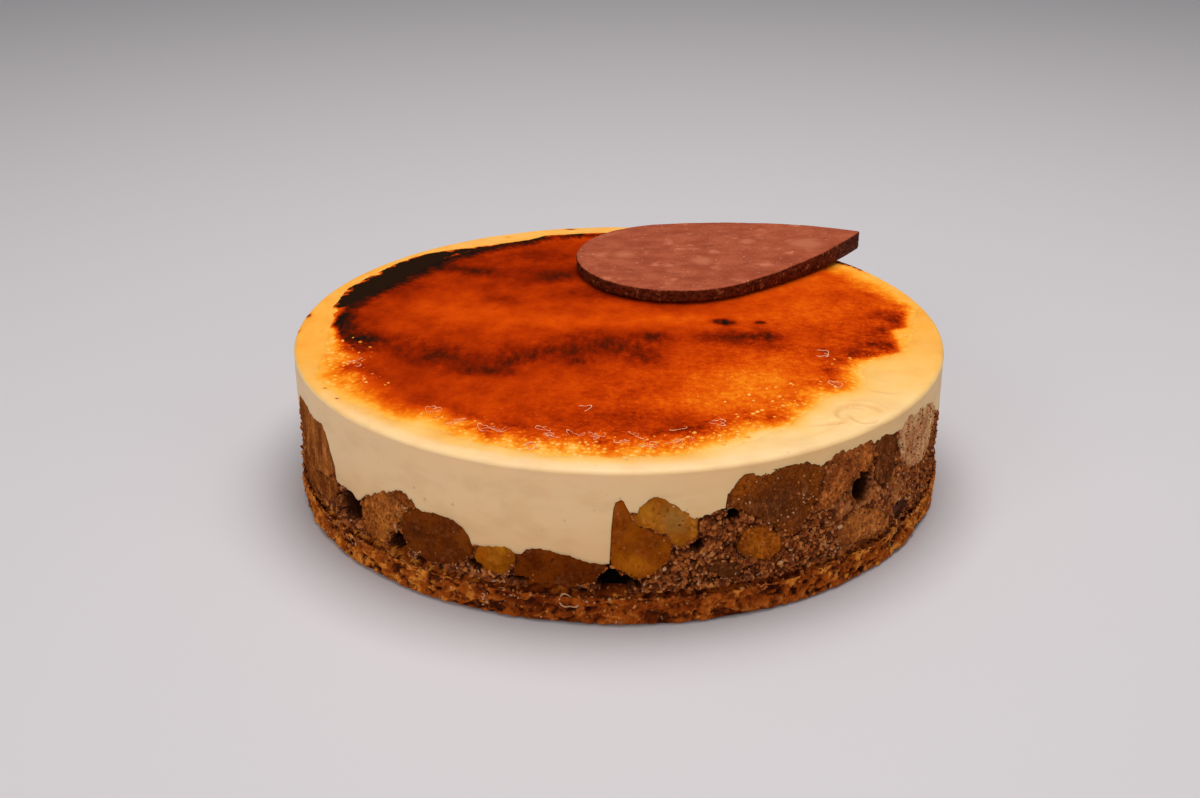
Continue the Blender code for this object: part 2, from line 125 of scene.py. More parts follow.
class Paint:
    """A socket of a finish, written as a value: arithmetic on it adds Math nodes."""

    def __init__(self, tree, socket):
        self.tree = tree
        self.socket = socket

    def node(self, kind, inputs, output=0, **settings):
        """A node of that kind: settings first, then the values or links of its sockets."""
        node = self.tree.nodes.new("ShaderNode" + kind)
        for number, (place, colour) in enumerate(settings.pop("stops", ())):
            elements = node.color_ramp.elements
            stop = elements[number] if number < 2 else elements.new(place)
            stop.position = place
            stop.color = (*colour, 1)
        for name, value in settings.items():
            setattr(node, name, value)
        for name, value in inputs.items():
            socket = node.inputs[name]
            if isinstance(value, Paint):
                self.tree.links.new(value.socket, socket)
            else:
                socket.default_value = (*value, 1) if socket.type == "RGBA" else value
        return Paint(self.tree, node.outputs[output])

    def math(self, operation, first, second, clamp=False):
        return self.node("Math", {0: first, 1: second}, operation=operation, use_clamp=clamp)

    def __add__(self, other):
        return self.math("ADD", self, other)

    def __sub__(self, other):
        return self.math("SUBTRACT", self, other)

    def __rsub__(self, other):
        return self.math("SUBTRACT", other, self)

    def __mul__(self, other):
        return self.math("MULTIPLY", self, other)

    __radd__ = __add__
    __rmul__ = __mul__

    def clamped(self):
        return self.math("ADD", self, 0.0, clamp=True)

    def between(self, low, high):
        """0 where the value is under low, 1 over high, and smooth between them."""
        return self.node("MapRange", {0: self, 1: low, 2: high, 3: 0.0, 4: 1.0},
                         interpolation_type="SMOOTHSTEP")

    def mixed(self, first, second, blend="MIX"):
        """The first colour where this value is 0, and the second where it is 1."""
        return self.node("Mix", {0: self, 6: first, 7: second}, 2, data_type="RGBA",
                         blend_type=blend, clamp_factor=True)

    def fade(self, low, high, first, second):
        """The first colour where this value is under low, and the second where it is over high."""
        return self.between(low, high).mixed(first, second)

    def noise(self, size, detail=2, stretch=(1, 1, 1), shift=0.0, roughness=0.55):
        """Smooth noise, 0 to 1, with patches of about that size in metres, at this place."""
        place = self.node("Mapping", {0: self, 1: (shift, shift, shift), 3: stretch})
        return self.node("TexNoise", {"Vector": place, "Scale": 1 / size, "Detail": detail,
                                      "Roughness": roughness})

    def cells(self, size, stretch=(1, 1, 1), shift=0.0):
        """Distance to the nearest of scattered points that lie about that size apart, in sizes."""
        place = self.node("Mapping", {0: self, 1: (shift, shift, shift), 3: stretch})
        return self.node("TexVoronoi", {"Vector": place, "Scale": 1 / size})

    def axis(self, number):
        """This place's x, y or z."""
        return self.node("SeparateXYZ", {0: self}, number)

    def away(self, middle):
        """How far this place is from the middle."""
        return self.node("VectorMath", {0: self, 1: middle}, 1, operation="DISTANCE")

    def radius(self):
        """How far this place is from the cake's axis."""
        flat = self.node("VectorMath", {0: self, 1: (1, 1, 0)}, operation="MULTIPLY")
        return flat.away((0, 0, 0))


class Finish:
    """A material: its painted nodes start at place, and its constants sit on the shader."""

    def __init__(self, name, **constants):
        self.material = bpy.data.materials.new(name)
        self.material.use_nodes = True
        self.tree = self.material.node_tree
        self.shader = self.tree.nodes["Principled BSDF"]
        for socket, value in constants.items():
            self.shader.inputs[socket.replace("_", " ")].default_value = value
        coordinates = self.tree.nodes.new("ShaderNodeTexCoord")
        self.place = Paint(self.tree, coordinates.outputs["Object"])

    def attribute(self, name):
        return self.place.node("Attribute", {}, 2, attribute_name=name)

    def paint(self, socket, value):
        self.tree.links.new(value.socket, self.shader.inputs[socket])

    def relief(self, height, depth):
        """Fine relief: a height of 0 to 1, and how deep that is in metres."""
        bump = height.node("Bump", {"Height": height, "Distance": depth, "Strength": 1.0})
        self.paint("Normal", bump)


def finished_with(piece, kind, **settings):
    """Adds a modifier to the piece and applies it."""
    modifier = piece.modifiers.new(kind.lower(), kind)
    for name, value in settings.items():
        setattr(modifier, name, value)
    bpy.context.view_layer.objects.active = piece
    bpy.ops.object.modifier_apply(modifier=modifier.name)


def turned(name, profile, columns):
    """A closed solid turned about the cake's axis; profile is its (radius, height) in mm."""
    bpy.ops.object.select_all(action="DESELECT")
    bpy.ops.mesh.primitive_circle_add(vertices=3, radius=MM, location=(0, 0, 0))
    piece = bpy.context.object
    piece.name = name
    bpy.ops.object.mode_set(mode="EDIT")
    bpy.ops.mesh.select_all(action="SELECT")
    bpy.ops.mesh.merge(type="CENTER")
    bpy.ops.transform.translate(value=(profile[0][0] * MM, 0, profile[0][1] * MM))
    for (radius, height), (next_radius, next_height) in zip(profile, profile[1:]):
        step = ((next_radius - radius) * MM, 0, (next_height - height) * MM)
        bpy.ops.mesh.extrude_vertices_move(TRANSFORM_OT_translate={"value": step})
    bpy.ops.object.mode_set(mode="OBJECT")
    bpy.ops.object.transform_apply(location=True, rotation=True, scale=True)
    finished_with(piece, "SCREW", axis="Z", angle=math.tau, steps=columns, render_steps=columns,
                  use_merge_vertices=True, merge_threshold=1e-6)
    bpy.ops.object.mode_set(mode="EDIT")
    bpy.ops.mesh.select_all(action="SELECT")
    bpy.ops.mesh.remove_doubles(threshold=1e-6)
    bpy.ops.mesh.normals_make_consistent(inside=False)
    bpy.ops.object.mode_set(mode="OBJECT")
    return piece


def around(columns):
    """The angles in radians of that many columns round the cake."""
    return np.arange(columns) * math.tau / columns


def column_at(angle, columns):
    """The number of the column nearest to each angle."""
    return np.round(angle / math.tau * columns).astype(int) % columns


def corners(piece):
    """The piece's vertices, as rows of x, y and z."""
    places = np.empty(len(piece.data.vertices) * 3, dtype=np.float32)
    piece.data.vertices.foreach_get("co", places)
    return places.reshape(-1, 3).astype(float)


def reshape(piece, places):
    piece.data.vertices.foreach_set("co", places.astype(np.float32).ravel())
    piece.data.update()


def polar(places):
    """Angle in radians from 0 to a full turn, radius and height of each place."""
    angle = np.arctan2(places[:, 1], places[:, 0]) % math.tau
    return angle, np.hypot(places[:, 0], places[:, 1]), places[:, 2].copy()


def at(angle, radius, height):
    """The opposite of polar; a radius or a height may be the same for all places."""
    return np.stack(np.broadcast_arrays(radius * np.cos(angle), radius * np.sin(angle), height), 1)


def rising(values, start, width):
    """0 up to the start, 1 from a width further on, and straight between them."""
    return np.clip((values - start) / width, 0, 1)


def lumps(places, size, seed, stretch=(1, 1, 1)):
    """Smooth noise, about -1 to 1, with bumps of that size in mm."""
    scaled = (places * np.array(stretch) / (size * MM) + seed * 7.31).tolist()
    return 1.4 * np.array([noise.noise(place) for place in scaled])


def grains(places, size, seed):
    """Rounded grains of that size in mm: 1 on a grain's top and 0 in the cracks between."""
    scaled = (places / (size * MM) + seed * 5.17).tolist()
    near = np.array([noise.voronoi(place)[0][:2] for place in scaled])
    return np.clip((near[:, 1] - near[:, 0]) * 2.2, 0, 1) ** 0.6


def warped(places, size, seeds):
    """Three noises, one for each axis, that push a pattern out of line."""
    return np.stack([lumps(places, size, seed) for seed in seeds], 1)


def measured(mesh):
    """A mesh's faces, ready for rays."""
    return BVHTree.FromPolygons([v.co for v in mesh.vertices],
                                [tuple(p.vertices) for p in mesh.polygons])


def met(solid, angle, height):
    """Where a ray from outside meets a solid, which way that faces, and how far out it is."""
    outward = Vector((math.cos(angle), math.sin(angle), 0))
    hit, normal = solid.ray_cast(outward * OUTSIDE + Vector((0, 0, height)), -outward)[:2]
    return (hit, normal, hit.xy.length) if hit else (None, None, 0.0)


def reach(solid, angle, height):
    """The radius at which a ray from outside meets the solid, or 0 where it misses."""
    return met(solid, angle, height)[2]


def dropped_on(solid, x, y, start):
    """Where a ray straight down meets the solid, and which way that faces."""
    return solid.ray_cast(Vector((x, y, start)), DOWN)[:2]


def smoothed(values, width):
    """A closed row of values, averaged over that many neighbours."""
    kernel = np.hanning(width + 2)[1:-1]
    return np.convolve(np.tile(values, 3), kernel / kernel.sum(), "same")[len(values):2 * len(values)]


def marked(piece, **values):
    """Stores values at each vertex, for the finish to read."""
    for name, numbers in values.items():
        attribute = piece.data.attributes.new(name, "FLOAT", "POINT")
        attribute.data.foreach_set("value", numbers.astype(np.float32))


def dress(piece, finish, slot, *nodes, smooth_angle=None):
    """The last step of every piece: its finish, its place on the cake and what it stands for."""
    bpy.ops.object.select_all(action="DESELECT")
    piece.select_set(True)
    bpy.context.view_layer.objects.active = piece
    piece.data.materials.clear()
    piece.data.materials.append(finish.material)
    if smooth_angle is None:
        bpy.ops.object.shade_smooth()
    else:
        bpy.ops.object.shade_smooth_by_angle(angle=math.radians(smooth_angle))
    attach(piece, "root")
    if nodes:
        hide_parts(*nodes)


base_solid = measured(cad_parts["biscuit_base"].data)
base_reach = [reach(base_solid, a, BASE_MIDDLE) for a in around(BASE_COLUMNS)]
base_reach = smoothed(np.array(base_reach), 23)
base_top = [dropped_on(base_solid, BASE_BRINK * math.cos(a), BASE_BRINK * math.sin(a), 20 * MM)[0].z
            for a in around(BASE_COLUMNS)]
base_top = smoothed(np.array(base_top), 15)

base_profile = [(0, 0), (60, 0), (90, 0), (96, 0), (98, 0.05), (99.2, 0.15), (99.9, 0.35)]
base_profile += [(BASE_WALL, 0.7 + 8.5 * row / BASE_ROWS) for row in range(BASE_ROWS + 1)]
base_profile += [(100.3, 9.6), (99.9, 9.95), (99.4, 10.1), (98.9, BASE_LEDGE), (98.3, BASE_LEDGE),
                 (97.6, BASE_LEDGE), (96.5, BASE_LEDGE), (94, 10.1), (80, 10), (0, 10)]
biscuit = turned("biscuit_round", base_profile, BASE_COLUMNS)
places = corners(biscuit)
angle, radius, height = polar(places)
column = column_at(angle, BASE_COLUMNS)
outer = rising(radius / MM, 96, 2.5)
warp = warped(places, 3.0, (6, 7, 8)) * 0.9 * MM
flaky = places * np.array((1, 1, 1.5))
coarse = lumps(places, 6.0, 1)
folds = (1 - np.abs(lumps(places + 1.6 * warp, 6.5, 9, (1, 1, 1.9)))) ** 4
clods = grains(flaky + warp, 3.8, 2)
crumb = grains(flaky + 0.6 * warp, 1.6, 3)
fine = lumps(places, 0.7, 4)
pits = rising(lumps(places, 2.6, 5, (1, 1, 1.6)), 0.5, 1)
relief = (0.40 * coarse + 0.95 * (folds - 0.35) + 0.75 * (clods - 0.74) + 0.45 * (crumb - 0.7)
          + 0.14 * fine - 2.3 * pits)
wall_share = np.clip(1 - np.abs(height / MM - 4.9) / 5.6, 0, 1) ** 0.3 * outer
radius += outer * (base_reach[column] - BASE_WALL * MM) + (relief - 0.2) * wall_share * MM
radius = np.minimum(radius, BASE_LIMIT * MM)
ledge = rising(height / MM, 8.5, 1.5) * outer
height += ledge * (base_top[column] - BASE_LEDGE * MM + (0.9 * relief - 0.1) * MM)
foot = np.clip((0.9 - height / MM) / 0.9, 0, 1) * outer
height += foot * np.clip(coarse + 1.5 * (0.8 - clods), 0, 1) * 0.6 * MM
reshape(biscuit, at(angle, radius, np.clip(height, 0, 10.24 * MM)))
marked(biscuit, relief=relief, fold=folds)

finish = Finish("baked_biscuit", Roughness=0.75, Specular_IOR_Level=0.04)
place = finish.place
proud = finish.attribute("relief")
west, east = 1 - place.axis(0).between(-0.07, -0.02), place.axis(0).between(0.03, 0.07)
grain = place.noise(0.0009, 3, shift=3.1)
patch = place.noise(0.0075, 3) + west * 0.19 + east * 0.19
colour = patch.fade(0.40, 0.62, (0.16, 0.021, 0.002), (0.43, 0.083, 0.0065))
# painted light: the golden tone is pushed up on the proud tops of the relief (proud) and towards the top of
# the base's side (lip), as if lit from above
lip = place.axis(2).between(0.005, 0.010)
golden = place.noise(0.0042, 3, shift=9.0) + proud * 0.11 + west * 0.15 + east * 0.125
golden = golden + lip * 0.06 - 0.10
colour = golden.fade(0.50, 0.66, colour, (0.84, 0.27, 0.033))
curl = (finish.attribute("fold") + (grain - 0.5) * 0.6).between(0.70, 1.0)
colour = (curl * 0.5).mixed(colour, (0.63, 0.205, 0.030))
colour = grain.fade(0.28, 0.42, (0.13, 0.024, 0.005), colour)
# painted shade: low places in the relief are made near black, as shade in the crevices
colour = (proud + (grain - 0.5) * 0.8).fade(-0.95, -0.18, (0.055, 0.009, 0.002), colour)
colour = place.noise(0.0019, 3, shift=6.2).fade(0.64, 0.72, colour, (0.57, 0.215, 0.055))
finish.paint("Base Color", colour)
finish.relief(grain * 0.6 + place.noise(0.0004) * 0.4, 0.0008)
dress(biscuit, finish, "biscuit", "biscuit_base")

# The filling: brown crumble packed round the apple pieces, filled nearly to the ring. At the
# wall it shows between the pieces as loose dark crumbs, with a few hollows left by air. These
# hollows and the gaps behind the pieces are painted near black, as shade.
FILLING_COLUMNS = 1200
FILLING_ROWS = 60
FILLING_FOOT = 9.7
FILLING_HEART = 26
WALL_RADIUS = 100
WALL_FACE = 99.25
HOLLOW_FLOOR = 94.5
FRUIT_BACK = 93
# where crumble closes the gap between fruit and base: first and last azimuth in degrees
CLOSED_FOOT = ((0, 226), (276, 360))
# where the crumble was pressed smooth against the ring: azimuth and height, and half of its size
SMEARED = (316.0, 20.0, 10.5, 10.5)
# where trapped air left a rounded hollow: azimuth, height, half width and half height in mm
AIR_POCKETS = (
    (219.8, 17.0, 5.8, 4.1), (231.7, 13.2, 3.4, 3.2), (247.2, 13.8, 2.5, 1.2), (254.2, 11.8, 3.2, 0.9),
    (313.1, 28.3, 3.9, 4.5), (324.5, 11.8, 1.9, 1.3), (282.6, 23.4, 1.5, 2.0), (303.6, 11.6, 2.4, 0.8),
    (96, 13.5, 2.6, 1.6), (154, 15, 3.0, 2.2))
CREAM_COLUMNS = FILLING_COLUMNS

cream_solid = measured(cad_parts["cream_layer"].data)


def cream_edge(a):
    """Height of the cream's lower edge on the wall, at that angle, in metres."""
    height = 42.9 * MM
    while height > 17 * MM and reach(cream_solid, a, height) > 99.2 * MM:
        height -= 0.3 * MM
    return height + 0.15 * MM


def widest(values):
    """Each value of a closed row, or a neighbour's if that is higher."""
    return np.max([np.roll(values, k) for k in (-1, 0, 1)], axis=0)


def pressed_smooth(azimuth, level):
    """1 where the crumble was pressed smooth against the ring, and 0 elsewhere."""
    middle, height, half_turn, half_height = SMEARED
    return np.exp(-((azimuth - middle) / half_turn) ** 4 - ((level - height) / half_height) ** 4)


def scooped(angle, radius, height):
    """The radius of each place with the air pockets hollowed out, and how deep in one it lies."""
    inside = np.zeros(len(angle))
    for azimuth, level, half_width, half_height in AIR_POCKETS:
        along = (np.degrees(angle) - azimuth) * math.radians(WALL_RADIUS) / half_width
        off = np.hypot(along, (height / MM - level) / half_height)
        off += 0.12 * lumps(at(angle, WALL_RADIUS * MM, height), 2.5, 71)
        inside = np.maximum(inside, np.clip((1.06 - off) / 0.14, 0, 1))
    return radius - inside * np.maximum(radius - HOLLOW_FLOOR * MM, 0), inside


# slits narrower than about 1.5 mm between two pieces are closed: the cream didn't run into them
edge_height = np.array([cream_edge(a) for a in around(CREAM_COLUMNS)])
edge_height = -widest(-widest(edge_height))
filling_solid = measured(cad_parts["apple_crumb_filling"].data)
filling_profile = [(0, 9), (60, 9), (90, 9.2), (96, 9.4)]
filling_profile += [(98.4, FILLING_FOOT + 10.0 * row / FILLING_ROWS) for row in range(FILLING_ROWS + 1)]
filling_profile += [(r, FILLING_FOOT + 11.0) for r in (97.4, 96, 93, 88, 83, 78, 60, 30, 0)]
filling = turned("crumble_filling", filling_profile, FILLING_COLUMNS)
angle, radius, height = polar(corners(filling))
crest = edge_height[column_at(angle, FILLING_COLUMNS)] + 0.6 * MM
top = height > (FILLING_FOOT + 10.5) * MM
rise = rising(height, FILLING_FOOT * MM, 10 * MM)
wall = ~top & (radius > 98 * MM)
height = np.where(wall, FILLING_FOOT * MM + rise * (crest - FILLING_FOOT * MM), height)
inward = rising(radius / MM, 78, 20)
inward = inward * inward * (3 - 2 * inward)
height = np.where(top, FILLING_HEART * MM + (crest - FILLING_HEART * MM) * inward, height)
places = at(angle, radius, height)
warp = warped(places, 2.2, (14, 15, 16))
level = np.maximum(height + warp[:, 1] * 0.7 * MM, 10 * MM)
depth = np.array([reach(filling_solid, a, h) if w else r
                  for a, h, w, r in zip(angle + warp[:, 0] * 0.55 / WALL_RADIUS, level, wall, radius)])
solid_wall = wall & (depth > 97.6 * MM)
open_wall = wall & ~solid_wall
fruit_solids = [measured(solid.data) for name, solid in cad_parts.items()
                if name.startswith("apple_") and name != "apple_crumb_filling"]
behind_fruit = np.zeros(len(places), dtype=bool)
for number in np.flatnonzero(open_wall):
    behind_fruit[number] = any(reach(solid, angle[number], height[number]) for solid in fruit_solids)
floor = np.where(behind_fruit, FRUIT_BACK, HOLLOW_FLOOR) * MM
depth = np.where(wall, np.maximum(depth, floor), radius)
closed, turn = np.zeros(len(places)), np.degrees(angle)
for first, last in CLOSED_FOOT:
    closed = np.maximum(closed, np.clip(np.minimum(turn - first, last - turn) / 1.5, 0, 1))
closed = closed * np.clip((12.2 * MM - height) / (0.9 * MM), 0, 1) * open_wall
coarse = lumps(places, 4.5, 11)
clods = grains(places + warp * 0.8 * MM, 2.6, 17)
loose = grains(places + warp * 0.5 * MM, 1.2, 12)
fine = lumps(places, 0.7, 13)
relief = 0.35 * coarse + (clods - 0.75) + 0.75 * (loose - 0.65) + 0.15 * fine
smear = pressed_smooth(turn, height / MM)
relief = relief * (1 - 0.55 * smear) + 0.12 * smear
radius = np.where(solid_wall, np.minimum(WALL_FACE * MM + relief * MM, 99.9 * MM), depth)
radius += closed * np.maximum(99.2 * MM + relief * MM - radius, 0)
pocket_radius, in_pocket = scooped(angle, radius, height)
reshape(filling, at(angle, np.where(wall, pocket_radius, radius), height))
# how far each place of the wall lies in a gap behind the pieces or in an air pocket: it drives painted shade
# there
hollow = np.maximum(open_wall * (1 - closed), 0.75 * in_pocket) * wall
marked(filling, relief=relief, smear=smear * wall, hollow=hollow)

finish = Finish("brown_crumble", Roughness=0.78, Specular_IOR_Level=0.04)
place = finish.place
proud = finish.attribute("relief")
grain = place.noise(0.0011, 3)
colour = place.noise(0.005, shift=2.0).fade(0.35, 0.65, (0.18, 0.042, 0.010), (0.41, 0.108, 0.025))
# painted light: proud places of the relief lean towards the lighter nutty tone
nutty_and_lit_tops = place.noise(0.0026, shift=12.0) + proud * 0.08
colour = nutty_and_lit_tops.fade(0.55, 0.68, colour, (0.64, 0.22, 0.05))
streak = place.noise(0.0022, 4, (1, 1, 0.35), 7.4)
pressed = streak.fade(0.34, 0.62, (0.25, 0.068, 0.018), (0.56, 0.190, 0.055))
pressed = place.noise(0.0045, 3, shift=1.9).fade(0.56, 0.68, pressed, (0.14, 0.036, 0.012))
colour = (finish.attribute("smear") * 0.9).mixed(colour, pressed)
# painted shade: low places in the relief are made near black, as shade in the crevices
colour = (proud + (grain - 0.5) * 1.4).fade(-0.7, 0.05, (0.045, 0.010, 0.004), colour)
colour = place.noise(0.0014, shift=4.0).fade(0.64, 0.71, colour, (0.66, 0.36, 0.20))
# painted shade: the gaps behind the pieces and the air pockets are made dark brown, then near black
hollow = finish.attribute("hollow")
colour = hollow.fade(0.0, 0.45, colour, (0.050, 0.011, 0.003))
colour = hollow.fade(0.35, 1.0, colour, (0.004, 0.0012, 0.0008))
finish.paint("Base Color", colour)
finish.relief(grain, 0.0006)
dress(filling, finish, "crumb_filling", "apple_crumb_filling")

# The apple pieces: chunks and slices of apple, stewed in caramel until they are brown and
# moist, and pressed flat against the ring. Some are cut across the flesh, others along it.
APPLE_VOXEL = 0.45 * MM
APPLE_BACK_VOXEL = 0.6 * MM
APPLE_SWELL = 0.75 * MM
APPLE_FACE = 99.8 * MM
APPLE_RIM = 2.6 * MM
APPLE_FOOT = 10.3 * MM
# CAD node and slot, both after "apple_", colours of the flesh and of its patches, how much longer
# its fibres are than wide, how far its light and dark differ, and how much crumb clings to it
APPLES = {
    "slice_streaky": ("brown", (0.40, 0.118, 0.022), (0.22, 0.055, 0.013), 5.0, 0.8, 0.5),
    "piece_left_low": ("brown", (0.31, 0.082, 0.014), (0.19, 0.042, 0.009), 1.6, 0.8, 0.7),
    "piece_rough": ("brown", (0.46, 0.130, 0.020), (0.29, 0.066, 0.011), 1.3, 0.8, 1.0),
    "chunk_brown": ("dark", (0.135, 0.025, 0.003), (0.20, 0.042, 0.004), 1.0, 0.5, 0.4),
    "chunk_golden_small": ("golden", (0.35, 0.098, 0.003), (0.27, 0.064, 0.003), 1.2, 0.4, 0.1),
    "slice_flat": ("dark", (0.115, 0.018, 0.0012), (0.18, 0.033, 0.002), 1.2, 0.5, 0.4),
    "chunk_orange_tall": ("golden", (0.25, 0.048, 0.002), (0.34, 0.080, 0.003), 1.2, 0.5, 0.15),
    "chunk_pale": ("pale", (0.42, 0.125, 0.008), (0.32, 0.082, 0.005), 1.4, 0.6, 0.1),
    "piece_orange_low": ("golden", (0.41, 0.095, 0.006), (0.285, 0.062, 0.006), 1.4, 0.7, 0.8),
    "piece_dark_low": ("dark", (0.16, 0.045, 0.012), (0.10, 0.025, 0.007), 1.0, 0.6, 0.6),
    "mass_dark": ("dark", (0.192, 0.046, 0.009), (0.270, 0.060, 0.007), 2.2, 0.7, 0.9),
    "mass_brown": ("brown", (0.52, 0.137, 0.025), (0.31, 0.075, 0.017), 1.5, 0.8, 1.0),
    "slice_upright": ("brown", (0.20, 0.050, 0.011), (0.12, 0.030, 0.009), 3.0, 0.8, 0.7),
    "piece_light_low": ("brown", (0.51, 0.150, 0.029), (0.33, 0.083, 0.017), 1.5, 0.7, 0.8),
    "slice_pale_streaky": ("pale", (0.84, 0.395, 0.175), (0.60, 0.235, 0.095), 5.0, 0.8, 0.8),
    "piece_purple_small": ("dark", (0.11, 0.038, 0.026), (0.08, 0.022, 0.012), 1.0, 0.4, 0.6),
}
# places where a piece is plainly another colour: azimuth, height and radius in mm, colour
DABS = {
    "chunk_golden_small": ((251.6, 21.0, 2.2, (0.62, 0.245, 0.008)),
                           (248.6, 17.8, 2.0, (0.46, 0.095, 0.004))),
    "chunk_orange_tall": ((273.0, 19.0, 4.2, (0.52, 0.150, 0.006)), (270.4, 35.0, 3.6, (0.40, 0.085, 0.005)),
                          (275.5, 25.0, 2.6, (0.18, 0.036, 0.002))),
    "chunk_pale": ((278.6, 31.8, 4.4, (0.38, 0.170, 0.033)), (274.6, 34.4, 3.0, (0.52, 0.185, 0.013)),
                   (281.5, 29.0, 1.8, (0.25, 0.075, 0.006))),
    "piece_rough": ((229.3, 18.3, 4.2, (0.62, 0.195, 0.028)), (231.6, 26.2, 2.6, (0.26, 0.075, 0.018)),
                    (227.8, 12.5, 2.4, (0.42, 0.105, 0.012))),
    "chunk_brown": ((245.6, 22.5, 3.5, (0.27, 0.060, 0.004)), (236.3, 19.5, 3.2, (0.090, 0.022, 0.005))),
    "slice_flat": ((258.8, 21.8, 3.5, (0.24, 0.046, 0.003)),),
    "mass_dark": ((289.5, 40.5, 5.0, (0.42, 0.092, 0.007)), (295.5, 31.5, 6.5, (0.115, 0.033, 0.011)),
                  (302.0, 38.0, 4.0, (0.28, 0.068, 0.008))),
    "piece_orange_low": ((292.3, 20.0, 3.2, (0.50, 0.135, 0.006)), (294.5, 24.5, 2.5, (0.30, 0.068, 0.005))),
}
# which front piece each of the pieces round the back is like
BACK_APPLES = (
    "chunk_orange_tall", "slice_flat", "chunk_pale", "chunk_brown", "piece_light_low", "mass_dark",
    "chunk_golden_small", "piece_rough", "slice_flat", "mass_brown", "piece_orange_low", "chunk_brown",
    "slice_upright")


def copied(node, name, voxel, rounds):
    """A piece with its own copy of a CAD solid's mesh, remade of small even faces and smoothed."""
    bpy.ops.object.select_all(action="DESELECT")
    piece = bpy.data.objects.new(name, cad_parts[node].data.copy())
    bpy.context.collection.objects.link(piece)
    piece.select_set(True)
    bpy.context.view_layer.objects.active = piece
    bpy.ops.object.mode_set(mode="EDIT")
    bpy.ops.mesh.select_all(action="SELECT")
    bpy.ops.mesh.remove_doubles(threshold=1e-5)
    bpy.ops.object.mode_set(mode="OBJECT")
    finished_with(piece, "REMESH", mode="VOXEL", voxel_size=voxel)
    finished_with(piece, "SMOOTH", factor=0.5, iterations=rounds)
    return piece


def outward_normals(piece):
    normals = np.empty(len(piece.data.vertices) * 3, dtype=np.float32)
    piece.data.vertex_normals.foreach_get("vector", normals)
    return normals.reshape(-1, 3).astype(float)


def nearness(places, faces_out, depth):
    """1 at the outline of a piece's face, and 0 that far inside it."""
    tree = KDTree(len(places))
    for number in np.flatnonzero(~faces_out):
        tree.insert(places[number], int(number))
    tree.balance()
    away = np.array([tree.find(place)[2] if out else 0.0 for place, out in zip(places, faces_out)])
    return 1 - np.clip(away / depth, 0, 1)


def dimmed(colour, share):
    return tuple(c * share for c in colour)


def on_wall(azimuth, level, radius):
    """A point on the wall: azimuth in degrees, height in mm, radius in metres."""
    a = math.radians(azimuth)
    return radius * math.cos(a), radius * math.sin(a), level * MM


def apple_finish(name, flesh, patches, fibre, contrast, dusty, dabs):
    finish = Finish(name, Specular_IOR_Level=0.0, Subsurface_Weight=0.15,
                    Subsurface_Radius=(1.0, 0.35, 0.12), Subsurface_Scale=0.002)
    place = finish.place
    rim, proud = finish.attribute("rim"), finish.attribute("relief")
    soft = place.noise(0.006, 3, (1, 1, 1 / fibre ** 0.5), 1.7)
    strand = place.noise(0.0014, 4, (1, 1, 1 / fibre), 5.3)
    light = tuple(min(0.9, c * (1 + 0.6 * contrast) + bright * contrast)
                  for c, bright in zip(flesh, (0.06, 0.045, 0.022)))
    colour = soft.fade(0.38, 0.58, patches, flesh)
    for azimuth, level, size, dab in dabs:
        size *= MM
        away = place.away(on_wall(azimuth, level, APPLE_FACE))
        blend = away + (soft - 0.5) * 1.6 * size + (strand - 0.5) * 0.6 * size
        colour = (0.12 + blend.between(0.1 * size, 1.35 * size) * 0.88).mixed(dab, colour)
    # the light flesh tone leans a little onto proud places: a touch of painted light
    colour = (strand * 0.7 + soft * 0.4 + proud * 0.05).fade(0.56, 0.74, colour, light)
    colour = strand.fade(0.27, 0.44, dimmed(flesh, 1 - 0.65 * contrast), colour)
    crumbly = place.noise(0.0009, 3, shift=6.7).between(0.34, 0.50)
    colour = (crumbly * 0.55 * dusty + (1 - 0.55 * dusty)).mixed(dimmed(patches, 0.45), colour)
    bruise = place.noise(0.0032, 4, shift=2.9).between(0.52, 0.68)
    colour = (bruise * (0.3 + 0.3 * dusty)).mixed(colour, dimmed(patches, 0.62))
    fray = (place.noise(0.0026, 3, shift=4.6) - 0.5) * (0.6 + 1.6 * dusty)
    # painted shade: the flesh darkens towards the piece's outline and in its dents, as shade in the seam
    # where it meets the filling
    edge = rim + fray + (strand - 0.5) * 1.1 - proud * 0.3
    colour = edge.fade(0.55, 1.2, colour, dimmed(patches, 0.85 - 0.4 * dusty))
    dust = place.cells(0.0010, (1, 1, 0.7)).between(0.14, 0.36)
    where = place.noise(0.0035, 3, shift=8.1).between(0.66 - 0.18 * dusty, 0.74 - 0.18 * dusty)
    dusted = (1 - dust) * where
    speck = tuple(0.72 * c + 0.28 * d for c, d in zip(light, (0.50, 0.20, 0.05)))
    colour = (dusted * (0.25 + 0.45 * dusty)).mixed(colour, speck)
    # painted shade: near black in the air pockets
    colour = finish.attribute("hollow").fade(0.1, 0.9, colour, (0.024, 0.006, 0.002))
    finish.paint("Base Color", colour)
    finish.paint("Roughness", 0.36 + strand * 0.3)
    finish.paint("Coat Weight", place.noise(0.003, 3, shift=3.3).between(0.58, 0.75) * 0.08)
    finish.relief(strand * 0.6 + place.noise(0.0005) * 0.2 + dusted * 0.5 * dusty
                  - (1 - crumbly) * 0.4 * dusty, 0.0008)
    return finish


